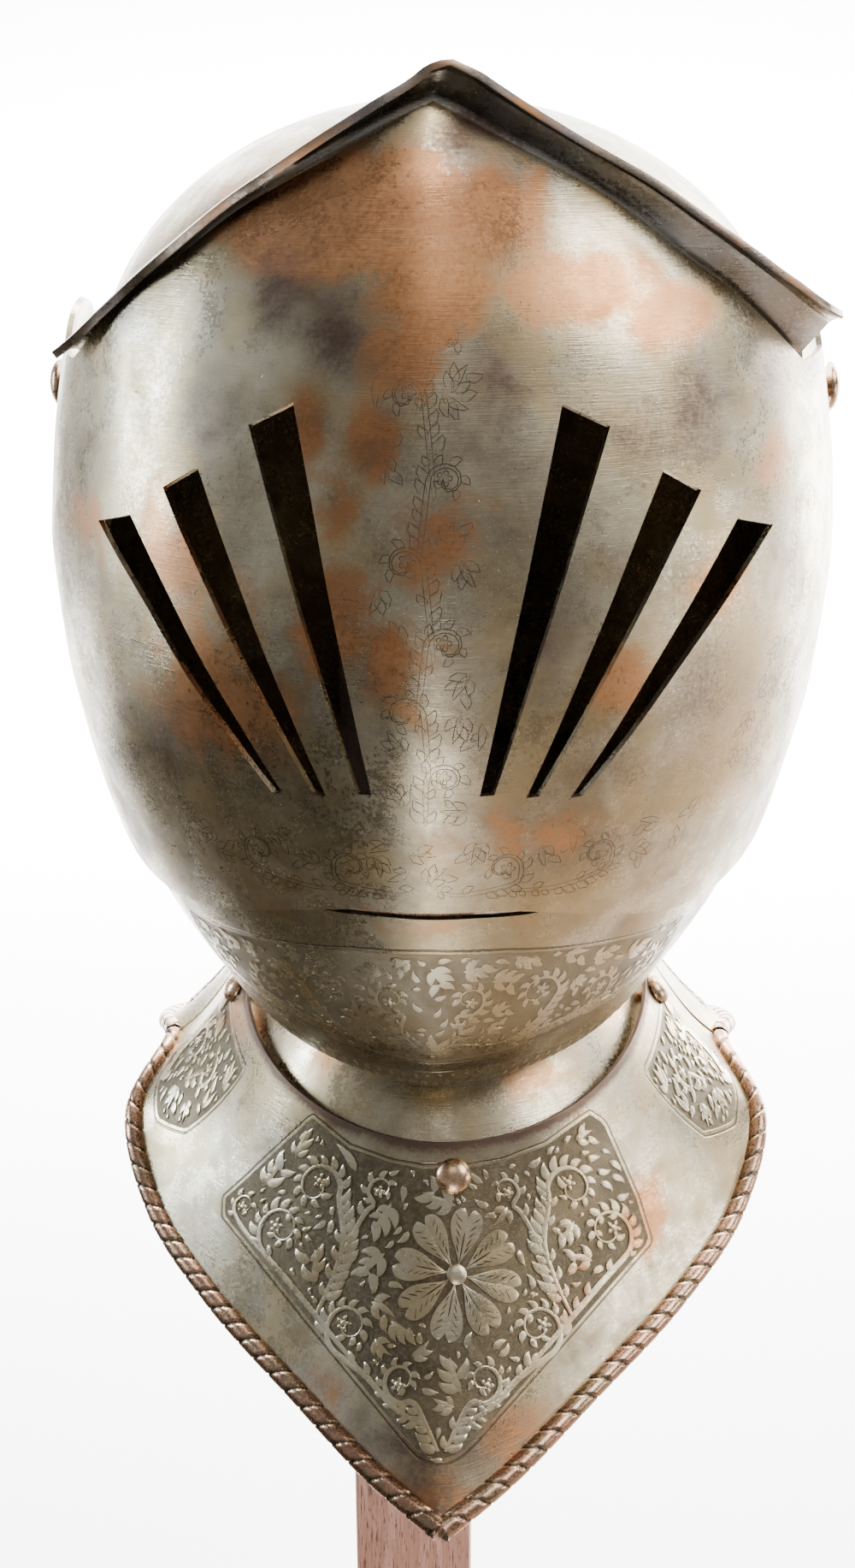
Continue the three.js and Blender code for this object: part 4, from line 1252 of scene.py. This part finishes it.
visorPanels = {  # seed, whether it is drawn on both cheeks, its outline, and its stems
    "middle": (61, False, [
        (-15, -86), (15, -86), (13, -40), (12, 0), (16, 26), (0, 34), (-16, 26), (-12, 0), (-13, -40)], [
        ([(0, -86)], (5, -74), 5.2, 200, -420), ([(1, -76)], (-5, -58), 5.2, -20, 420),
        ([(-2, -62)], (5, -42), 5.4, 200, -420), ([(2, -46)], (-5, -24), 5.2, -20, 420),
        ([(-2, -28)], (5, -6), 5.0, 200, -420), ([(2, -10)], (-5, 12), 5.0, -20, 420),
        ([(-2, 8)], (5, 24), 4.2, 200, -400)]),
    "mouth": (62, False, [(-78, -90), (78, -90), (72, -108), (40, -110), (0, -107), (-40, -110), (-72, -108)], [
        ([(2, -104), (8, -106)], (19, -99), 6, -60, 400), ([(-2, -104), (-8, -106)], (-19, -99), 6, 240, -400),
        ([(20, -106), (34, -107)], (44, -99), 6, -60, 400), ([(-20, -106), (-34, -107)], (-44, -99), 6, 240, -400)]),
    "cheek": (63, True, [(100, -8), (128, 0), (126, -60), (104, -92), (84, -92), (76, -86), (96, -50)], [
        ([(92, -88), (98, -78)], (108, -68), 7, 180, -400), ([(104, -74), (112, -58)], (113, -44), 7, -20, 420),
        ([(108, -50), (104, -36)], (114, -22), 6.5, 180, -400)]),
}


def drawVisorLines():
    # engraved foliage
    lines = []
    for seed, twice, loop, stems in visorPanels.values():
        relief = Relief(seed, 0.1, np.array(loop, float), 0.4)
        for route, centre, radius, start, turn in stems:
            relief.scroll(route, centre, radius, math.radians(start), math.radians(turn), 0.75, 5.0, 3.0)
        relief.sprays(420, (7.0,), lambda at: 0, (0, 6.28))
        for mirror in ((1, -1) if twice else (1,)):
            lines += [line * (mirror, 1) for line in outlinesOf(relief)]
    return lines


def layOnPlate(tree, pointAt, scale):
    # flat places are turn times a length, and level
    def lay(flat, heights):
        turn, level = flat[:, 0] / scale, flat[:, 1]
        return settle(tree, pointAt(level, turn), -surfaceNormals(pointAt, level, turn, 0.004), heights)

    return lay


def bevorPanelDepth(turns, levels):
    flat = np.stack([turns * bevorPanel["scale"], levels], 1)
    strip = np.minimum(bevorPanel["strip"][0] - levels, levels - bevorPanel["strip"][1])
    strip = np.minimum(strip, bevorPanel["stripReach"] + 4 - np.abs(flat[:, 0]))
    return np.maximum(polygonDepth(flat, bevorLoop()), strip)


def layOnPlane(tree, plane, scale=1.0):
    top, across, down, out = plane

    def lay(flat, heights):
        starts = top + (flat[:, :1] * across + flat[:, 1:2] * down) * scale
        return settle(tree, starts, np.repeat(-out[None], len(flat), 0), heights)

    return lay


def layOnSide(tree, side, mirror):
    def lay(flat, heights):
        share, down = (flat / panels["sideScale"]).T
        share = side * (1.09 - share if mirror else share)
        share = np.where(share < 0, share + 2, share)
        return settle(tree, gorgetPoint(share, down), -gorgetNormal(share, down), heights)

    return lay


def outerTree(obj):
    mesh = obj.data
    points = np.empty(len(mesh.vertices) * 3)
    mesh.vertices.foreach_get("co", points)
    points = (points.reshape(-1, 3) - hinge) / mm
    return BVHTree.FromPolygons([Vector(p) for p in points], [tuple(f.vertices) for f in mesh.polygons])


def joinPieces(name, parts):
    with bpy.context.temp_override(active_object=parts[0], object=parts[0], selected_editable_objects=parts):
        bpy.ops.object.join()
    parts[0].name = name
    return parts[0]


def makeGorgetRelief(front, back):
    frontTree, backTree = outerTree(front), outerTree(back)
    central, sideRelief = drawCentralPanel(31, (3.8, 35.5)), drawSidePanel(47)
    veins = engraving(3, [line for petal in central.veins for line in petal], 0.24, 1.0)
    layFront, layBack = layOnPlane(frontTree, frontPlane), layOnPlane(backTree, backPlane, 0.97)
    leaves = {"front": [central.build("frontLeaves", layFront)], "back": [central.build("backLeaves", layBack)]}
    cuts = [veins.build("frontVeins", layFront), veins.build("backVeins", layBack)]
    for side in (1, -1):
        leaves["front"].append(sideRelief.build("frontSide", layOnSide(frontTree, side, False)))
        leaves["back"].append(sideRelief.build("backSide", layOnSide(backTree, side, True)))
    pieces = ("gorget_front_leaves", leaves["front"]), ("gorget_back_leaves", leaves["back"]), ("gorget_veins", cuts)
    return [joinPieces(name, parts) for name, parts in pieces]


def makeBevorRelief(plate):
    lay = layOnPlate(outerTree(plate), bevorPoint, bevorPanel["scale"])
    relief = drawBevorPanel(5)
    leaves = relief.build("bevor_leaves", lay)
    outlines = engraving(6, outlinesOf(relief), 0.13, 0.06).build("bevor_outlines", lay)
    return leaves, outlines


def makeVisorEngraving(plate):
    return engraving(7, drawVisorLines(), 0.19, 0.03).build(
        "visor_engraving", layOnPlate(outerTree(plate), visorPoint, visor["scale"]))


def nodeTree(name, sizes):
    tree = bpy.data.node_groups.new(name, "GeometryNodeTree")
    tree.interface.new_socket("Geometry", in_out="INPUT", socket_type="NodeSocketGeometry")
    tree.interface.new_socket("Geometry", in_out="OUTPUT", socket_type="NodeSocketGeometry")
    for label, value in sizes.items():
        kind = {int: "NodeSocketInt", float: "NodeSocketFloat"}[type(value)]
        tree.interface.new_socket(label, in_out="INPUT", socket_type=kind).default_value = value
    start, end = tree.nodes.new("NodeGroupInput"), tree.nodes.new("NodeGroupOutput")
    return tree, start, end


def grow(obj, tree, sizes):
    # runs a node tree on an object, its inputs set by identifier, and keeps the result as a plain mesh
    growth = obj.modifiers.new("growth", "NODES")
    growth.node_group = tree
    for item in tree.interface.items_tree:
        if item.item_type == "SOCKET" and item.in_out == "INPUT" and item.name in sizes:
            growth[item.identifier] = sizes[item.name]
    mesh, name = plainMesh(obj), obj.name
    bpy.data.objects.remove(obj)
    return addObject(name, mesh)


def stored(tree, geometry, name, value):
    inputs = {"Geometry": geometry, "Name": name, "Value": value}
    return addNode(tree, "GeometryNodeStoreNamedAttribute", inputs, data_type="FLOAT", domain="POINT").outputs[0]


def named(tree, name, kind="FLOAT"):
    return addNode(tree, "GeometryNodeInputNamedAttribute", {"Name": name}, data_type=kind).outputs["Attribute"]


def vector(tree, **parts):
    return addNode(tree, "ShaderNodeCombineXYZ", parts).outputs[0]


def finishTree(tree, end, geometry, finish):
    # smooth, real and coated
    for kind, inputs in (("SetShadeSmooth", {}), ("RealizeInstances", {}), ("SetMaterial", {"Material": finish})):
        geometry = addNode(tree, "GeometryNode" + kind, {"Geometry": geometry, **inputs}).outputs[0]
    link(tree, geometry, end.inputs["Geometry"])
    return tree


rope = {
    "radius": 3.0, "strands": 2, "pitch": 14.6, "groove": 0.7, "narrow": 3.6, "around": 24, "step": 0.42,
}


def ropeTree(finish):
    # a bar with a lobed, turning section swept along its path
    tree, start, end = nodeTree("ropedEdge", {
        "Radius": rope["radius"] * mm, "Groove": rope["groove"] * mm, "Turns": 10.0,
        "Strands": float(rope["strands"]), "Around": rope["around"]})
    size = start.outputs
    circleInputs = {"Resolution": size["Around"], "Radius": size["Radius"]}
    section = addNode(tree, "GeometryNodeCurvePrimitiveCircle", circleInputs).outputs["Curve"]
    path, profile = (stored(tree, line, name, addNode(tree, "GeometryNodeSplineParameter").outputs["Factor"])
                     for line, name in ((size["Geometry"], "along"), (section, "around")))
    bar = addNode(tree, "GeometryNodeCurveToMesh", {
        "Curve": path, "Profile Curve": profile, "Fill Caps": True}).outputs[0]
    turning = plus(tree, times(tree, named(tree, "along"), size["Turns"]), named(tree, "around"))
    phase = times(tree, times(tree, turning, size["Strands"]), math.pi)
    wave = maths(tree, "ABSOLUTE", maths(tree, "SINE", phase))
    notch = maths(tree, "MAXIMUM", maths(tree, "MULTIPLY_ADD", wave, -rope["narrow"], 1.0), 0.0)
    inward = times(tree, times(tree, notch, size["Groove"]), -1.0)
    normal = addNode(tree, "GeometryNodeInputNormal").outputs[0]
    offset = addNode(tree, "ShaderNodeVectorMath", {0: normal, "Scale": inward}, operation="SCALE").outputs[0]
    bar = addNode(tree, "GeometryNodeSetPosition", {"Geometry": bar, "Offset": offset}).outputs[0]
    return finishTree(tree, end, stored(tree, bar, "notch", notch), finish)


def pathObject(name, points):
    curve = bpy.data.curves.new(name, "CURVE")
    curve.dimensions = "3D"
    spline = curve.splines.new("POLY")
    spline.points.add(len(points) - 1)
    for target, p in zip(spline.points, np.asarray(points) * mm + hinge):
        target.co = (*p, 1)
    return addObject(name, curve)


def makeRope(name, first, middle, last, tree):
    halves = []
    for a, b, hand in ((first, middle, 1), (middle, last, -1)):
        length = abs(b - a) * borderLength
        line = pathObject(f"{name}_half", gorgetPoint(np.linspace(a, b, int(length / rope["step"])), 1.0))
        halves.append(grow(line, tree, {"Turns": hand * length / rope["pitch"]}))
    return joinPieces(name, halves)


rivets = {
    "shares": (0.014, 0.47, 1.0, 1.53), "down": 0.09,  # front, right, back, left
    "sizes": {"Head radius": 5.0, "Head height": 3.0, "Shank radius": 2.0, "Shank depth": 9.0},
}
pins = {"Head radius": 7.0, "Head height": 3.4, "Shank radius": 3.0}


def headTree(finish):
    # a dome that is flat below and a shank, at every point of a mesh, turned along the point's direction
    tree, start, end = nodeTree("domedHead", {key: value * mm for key, value in rivets["sizes"].items()})
    size = start.outputs

    def part(kind, **inputs):
        return addNode(tree, "GeometryNode" + kind, {key.replace("_", " "): inputs[key] for key in inputs}).outputs[0]

    scale = vector(tree, X=size["Head radius"], Y=size["Head radius"], Z=size["Head height"])
    dome = part("Transform", Geometry=part("MeshUVSphere", Segments=32, Rings=24, Radius=1.0), Scale=scale)
    place = addNode(tree, "ShaderNodeSeparateXYZ", {0: part("InputPosition")}).outputs
    flat = vector(tree, X=place["X"], Y=place["Y"], Z=maths(tree, "MAXIMUM", place["Z"], 0.0))
    dome = part("MergeByDistance", Geometry=part("SetPosition", Geometry=dome, Position=flat), Distance=1e-6)
    shank = part("MeshCylinder", Vertices=24, Radius=size["Shank radius"], Depth=size["Shank depth"])
    sunk = vector(tree, Z=times(tree, size["Shank depth"], -0.49))
    both = addNode(tree, "GeometryNodeJoinGeometry")
    for piece in (part("Transform", Geometry=shank, Translation=sunk), dome):
        link(tree, piece, both.inputs[0])
    facing = addNode(tree, "FunctionNodeAlignRotationToVector", {
        "Vector": named(tree, "outwards", "FLOAT_VECTOR")}, axis="Z").outputs[0]
    places = part("MeshToPoints", Mesh=size["Geometry"])
    heads = part("InstanceOnPoints", Points=places, Instance=both.outputs[0], Rotation=facing)
    return finishTree(tree, end, heads, finish)


def makeHeads(name, points, normals, tree, sizes):
    mesh = addMesh(name, (np.asarray(points) * mm + hinge).tolist(), [])
    layer = mesh.attributes.new("outwards", "FLOAT_VECTOR", "POINT")
    layer.data.foreach_set("vector", np.asarray(normals, np.float32).ravel())
    made = grow(addObject(name, mesh), tree, {key: value * mm for key, value in sizes.items()})
    made.data.set_sharp_from_angle(angle=math.radians(50))
    return made


stand = {
    "side": 190, "thickness": 24, "post": 42, "postBack": 49, "postTop": 40, "block": 40, "blockHeight": 32,
    "blockCrown": 66, "blockSides": 64, "arris": 1.2, "baseEdge": 4.0,
}


def roundedBox(name, low, high, bevel):
    work = bmesh.new()
    bmesh.ops.create_cube(work, size=1)
    low, high = np.array(low, float), np.array(high, float)
    for v in work.verts:
        v.co = Vector(((low + high) / 2 + np.array(v.co) * (high - low)) * mm)
    bmesh.ops.bevel(work, geom=list(work.edges), offset=bevel * mm, segments=4, profile=0.6, affect="EDGES")
    mesh = bpy.data.meshes.new(name)
    work.to_mesh(mesh)
    work.free()
    obj = addObject(name, mesh)
    smoothShade(obj, 30)
    return obj


def turnedBlock(name, back, base):
    # the domed block, turned from its profile: straight sides with a small arris, then a shallow crown
    side, height, crown = stand["block"], stand["blockHeight"], stand["blockCrown"]
    a = np.linspace(math.asin(side / crown), 0, 16)[:-1]
    profile = [(side - stand["arris"], 0), (side, stand["arris"]),
               *zip(crown * np.sin(a), height - crown * (1 - np.cos(a)))]
    count, last = stand["blockSides"], len(profile) * stand["blockSides"] + 1
    points = [(0, back, base)]
    for r, z in profile:
        points += [(r * x, back + r * y, base + z) for x, y in circle(1.0, count)]
    points.append((0, back, base + height))
    faces = (gridFaces(len(profile), count, ring=True) + 1).tolist()
    for j in range(count):
        k = (j + 1) % count
        faces += [(0, 1 + k, 1 + j), (last - count + j, last - count + k, last)]
    block = faceOutwards(makeObject(name, np.array(points) - hinge / mm, faces))
    smoothShade(block, 40)
    return block


def makeStand():
    half, post = stand["side"] / 2, stand["post"] / 2
    foot, back = stand["thickness"] + form["gap"], stand["postBack"]
    top = hinge[2] / mm + stand["postTop"]
    board = roundedBox("stand_board", (-half, -half, 0), (half, half, stand["thickness"]), stand["baseEdge"])
    upright = roundedBox("stand_upright", (-post, back - post, foot), (post, back + post, top), stand["arris"])
    return board, upright, turnedBlock("stand_block", back, top + form["gap"])


silver = wornPlate("wornSilverPlate")
crownSilver = wornPlate("crownSilver", copperBias=-0.05)
peakSilver = wornPlate("browSilver", tone=0.72, stainBias=0.1, mottling=0.6, tint=(0.92, 1.0, 1.3))
etchedSilver = wornPlate("etchedSilver", ground=1.0)
bevorSilver = wornPlate("bevorSilver", tone=0.85, ground=0.5)
leafSilver = wornPlate("leafSilver", tone=1.1, stainBias=-0.3, mottling=0.35)
bevorLeafSilver = wornPlate("bevorLeafSilver", tone=0.95, stainBias=-0.25, mottling=0.5)
cutLine = wornPlate("engravedLine", tone=0.24, stainBias=0.0)
copperRope = redBrass("ropeBrass", (0.36, 0.21, 0.14), paintedNotchShade=True)
headBrass = redBrass("rivetBrass", (0.66, 0.42, 0.27))
oak = oakWood("oakUpright", paintedShadeTop=True)
oakBoard = oakWood("oakBoard", (90, 0, 0))

skullPiece, visorPiece, bevorPiece = makeSkull(), makeVisor(), makeBevor()
print("skull, visor and bevor ready")
peakPiece, collarPiece = makePeak(), makeCollar()
seamFront, seamBack = neck["seam"] - neck["seamGap"], neck["seam"] + neck["seamGap"]
frontPiece = makeGorgetPlate("gorget_front_plate", -seamFront, seamFront)
backPiece = makeGorgetPlate("gorget_back_plate", seamBack, 2 - seamBack)
frontLeaves, backLeaves, veinPiece = makeGorgetRelief(frontPiece, backPiece)
bevorLeaves, bevorLines = makeBevorRelief(bevorPiece)
visorLines = makeVisorEngraving(visorPiece)
print("brow flange, collar and gorget ready")

ropes = ropeTree(copperRope)
frontRope = makeRope("gorget_front_rope", -seamFront, 0, seamFront, ropes)
backRope = makeRope("gorget_back_rope", seamBack, 1, 2 - seamBack, ropes)
heads = headTree(headBrass)
rivetPlace = np.array(rivets["shares"]), rivets["down"]
rivetOut = gorgetNormal(*rivetPlace)
rivetFoot = gorgetPoint(*rivetPlace) + rivetOut * form["gap"]
rivetPiece = makeHeads("gorget_rivets", rivetFoot, rivetOut, heads, rivets["sizes"])
headFace = float(visorHalfWidth(-pins["Head radius"])) + form["gap"]
pinDepth = headFace - (form["crownHalfWidth"] - form["plate"] - 3 * form["gap"])
pinFaces = [(headFace, 0, 0), (-headFace, 0, 0)]
pinPiece = makeHeads("hinge_pins", pinFaces, unit(np.array(pinFaces)), heads, {**pins, "Shank depth": pinDepth})
board, upright, block = makeStand()
print("rope, rivets and stand ready")

for piece, body, slotName, finish, nodes in (
    (skullPiece, "helmet", "silver_plate", crownSilver, ["skull"]),
    (visorPiece, "visor", "silver_plate", silver, ["visor"]),
    (bevorPiece, "helmet", "silver_plate", bevorSilver, ["bevor"]),
    (peakPiece, "visor", "silver_plate", peakSilver, ["brow_peak"]),
    (collarPiece, "helmet", "silver_plate", silver, ["neck_collar"]),
    (frontPiece, "helmet", "silver_plate", etchedSilver, ["gorget_front"]),
    (backPiece, "helmet", "silver_plate", etchedSilver, ["gorget_back"]),
    (frontLeaves, "helmet", "silver_plate", leafSilver, []),
    (backLeaves, "helmet", "silver_plate", leafSilver, []),
    (veinPiece, "helmet", "silver_plate", cutLine, []),
    (bevorLeaves, "helmet", "silver_plate", bevorLeafSilver, []),
    (bevorLines, "helmet", "silver_plate", cutLine, []),
    (visorLines, "visor", "silver_plate", cutLine, []),
    (frontRope, "helmet", "silver_plate", None, []),
    (backRope, "helmet", "silver_plate", None, []),
    (rivetPiece, "helmet", "brass", None,
     ["gorget_rivet_front", "gorget_rivet_right", "gorget_rivet_back", "gorget_rivet_left"]),
    (pinPiece, "helmet", "brass", None, ["hinge_pin_right", "hinge_pin_left"]),
    (board, "helmet", "oak", oakBoard, ["stand_base"]),
    (upright, "helmet", "oak", oak, ["stand_post"]),
    (block, "helmet", "oak", oak, ["stand_head_block"]),
):
    if finish:
        piece.data.materials.clear()
        piece.data.materials.append(finish)
    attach(piece, body)
    if nodes:
        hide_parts(*nodes)


studio = {
    "yaw": 1.8, "pitch": 20, "distance": 510, "rise": 64, "lens": 40.18, "shift": -0.0098,
    "floor": 1.7, "cove": 0.9, "height": 3.4, "floorTone": (0.93, 0.93, 0.93),
    "sky": (0.93, 0.92, 0.9, 1), "skyPower": 0.38,
}


def makeCamera():
    yaw, pitch = math.radians(studio["yaw"]), math.radians(studio["pitch"])
    camera = addObject("camera", bpy.data.cameras.new("camera"))
    camera.data.lens = studio["lens"]
    camera.data.sensor_width = 36
    camera.data.shift_x = studio["shift"]
    camera.data.clip_start, camera.data.clip_end = 0.01, 50
    away = Vector((math.sin(yaw), -math.cos(yaw), 0)) * studio["distance"] * mm
    camera.location = Vector(hinge) + away + Vector((0, 0, studio["rise"] * mm))
    camera.rotation_euler = (math.pi / 2 - pitch, 0, yaw)
    bpy.context.scene.camera = camera


def mattePaint(name, tone, roughness):
    material, tree, shader = newMaterial(name)
    shader.inputs["Base Color"].default_value = (*tone, 1)
    shader.inputs["Roughness"].default_value = roughness
    return material


def makeFloor():
    # a flat floor that curves up behind, all one sheet
    bend, reach = studio["cove"], studio["floor"]
    arc = [(reach + bend * math.sin(a), bend * (1 - math.cos(a))) for a in np.radians(np.linspace(0, 90, 40))]
    line = [(-6.0, 0.0), (0.0, 0.0), *arc, (reach + bend, studio["height"])]
    points = [(x, y, z) for y, z in line for x in (-7.0, 7.0)]
    faces = [(2 * i, 2 * i + 1, 2 * i + 3, 2 * i + 2) for i in range(len(line) - 1)]
    mesh = addMesh("floor", points, faces)
    mesh.shade_smooth()
    mesh.materials.append(mattePaint("paleFloor", studio["floorTone"], 0.9))
    addObject("floor", mesh)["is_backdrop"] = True


lights = {  # place, size, power, colour, what it points at, and its spread in degrees
    "rightWindow": ((0.95, 0.95, 0.75), (0.7, 1.2), 11, (1.0, 0.99, 0.97), (0, 0, 0.42), 70),
    "leftWindow": ((-1.15, 0.12, 0.72), (0.22, 0.55), 1.7, (0.74, 0.87, 1.0), (0, 0, 0.42), 60),
    "highRight": ((0.88, -0.14, 1.2), (0.6, 0.6), 1.9, (1.0, 0.99, 0.96), (0, 0, 0.42), 60),
    "lowRight": ((1.2, -0.1, 0.38), (0.45, 0.24), 0.55, (1.0, 0.99, 0.96), (0, 0, 0.3), 60),
    "frontFill": ((0.15, -0.75, 1.8), (0.8, 0.8), 0.45, (1.0, 0.97, 0.93), (0, 0, 0.42), 60),
    "above": ((0.0, 0.05, 2.0), (0.35, 0.35), 0.8, (1.0, 0.97, 0.95), (0, 0, 0.42), 60),
    "lowStrip": ((0.05, -0.5, 0.02), (0.2, 0.6), 2.1, (1.0, 0.96, 0.93), (0.0, -0.05, 0.45), 180),
    "floorWash": ((0.0, 1.8, 2.4), (3.4, 1.4), 800, (1.0, 1.0, 1.0), (0, 2.0, 0.0), 105),
}


def makeLight(name, place, size, power, colour, target, spread):
    light = bpy.data.lights.new(name, "AREA")
    light.shape = "RECTANGLE"
    light.size, light.size_y = size
    light.energy, light.color = power, colour
    light.spread = math.radians(spread)
    obj = addObject(name, light)
    obj.location = place
    obj.visible_camera = False
    obj.rotation_euler = (Vector(place) - Vector(target)).to_track_quat("Z", "Y").to_euler()


flags = {  # corners of a floor card on one side and of a wall card, and their colours
    "place": [
        (0.15, -2.2), (2.2, -2.2), (2.2, 0.75), (0.6, 0.75), (0.42, 0.35), (0.2, 0.12), (0.085, -0.05), (0.1, -0.3)],
    "shift": 0.01, "level": 0.012, "tones": {1: (0.27, 0.22, 0.18), -1: (0.03, 0.026, 0.02)},
    "wall": [(-1.5, 0.62, 0.0), (-0.85, 1.5, 0.0), (-0.85, 1.5, 0.78), (-1.5, 0.62, 0.78)],
    "wallTone": (0.22, 0.22, 0.21),
}


def makeFlag(name, corners, tone):
    # a card that only shows as a reflection in the plates
    card = mattePaint(name + "Card", tone, 1.0)
    card.node_tree.nodes["Principled BSDF"].inputs["Specular IOR Level"].default_value = 0.0
    mesh = addMesh(name, corners, [tuple(range(len(corners)))])
    mesh.materials.append(card)
    flag = addObject(name, mesh)
    flag.visible_camera = flag.visible_shadow = False
    flag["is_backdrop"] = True


def makeFlags():
    for side, name in ((1, "rightFlag"), (-1, "leftFlag")):
        corners = [(side * x + flags["shift"], y, flags["level"]) for x, y in flags["place"]]
        makeFlag(name, corners[::side], flags["tones"][side])
    makeFlag("leftWallFlag", flags["wall"], flags["wallTone"])


makeCamera()
makeFloor()
for name, settings in lights.items():
    makeLight(name, *settings)
makeFlags()
world = bpy.data.worlds.new("studio")
bpy.context.scene.world = world
world.use_nodes = True
sky = world.node_tree.nodes["Background"].inputs
sky[0].default_value, sky[1].default_value = studio["sky"], studio["skyPower"]
print("camera, floor and light ready")

({name: [list(map(float, corner)) for corner in box] for name, box in
           (("cad", cadBox), ("visual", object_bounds()))})
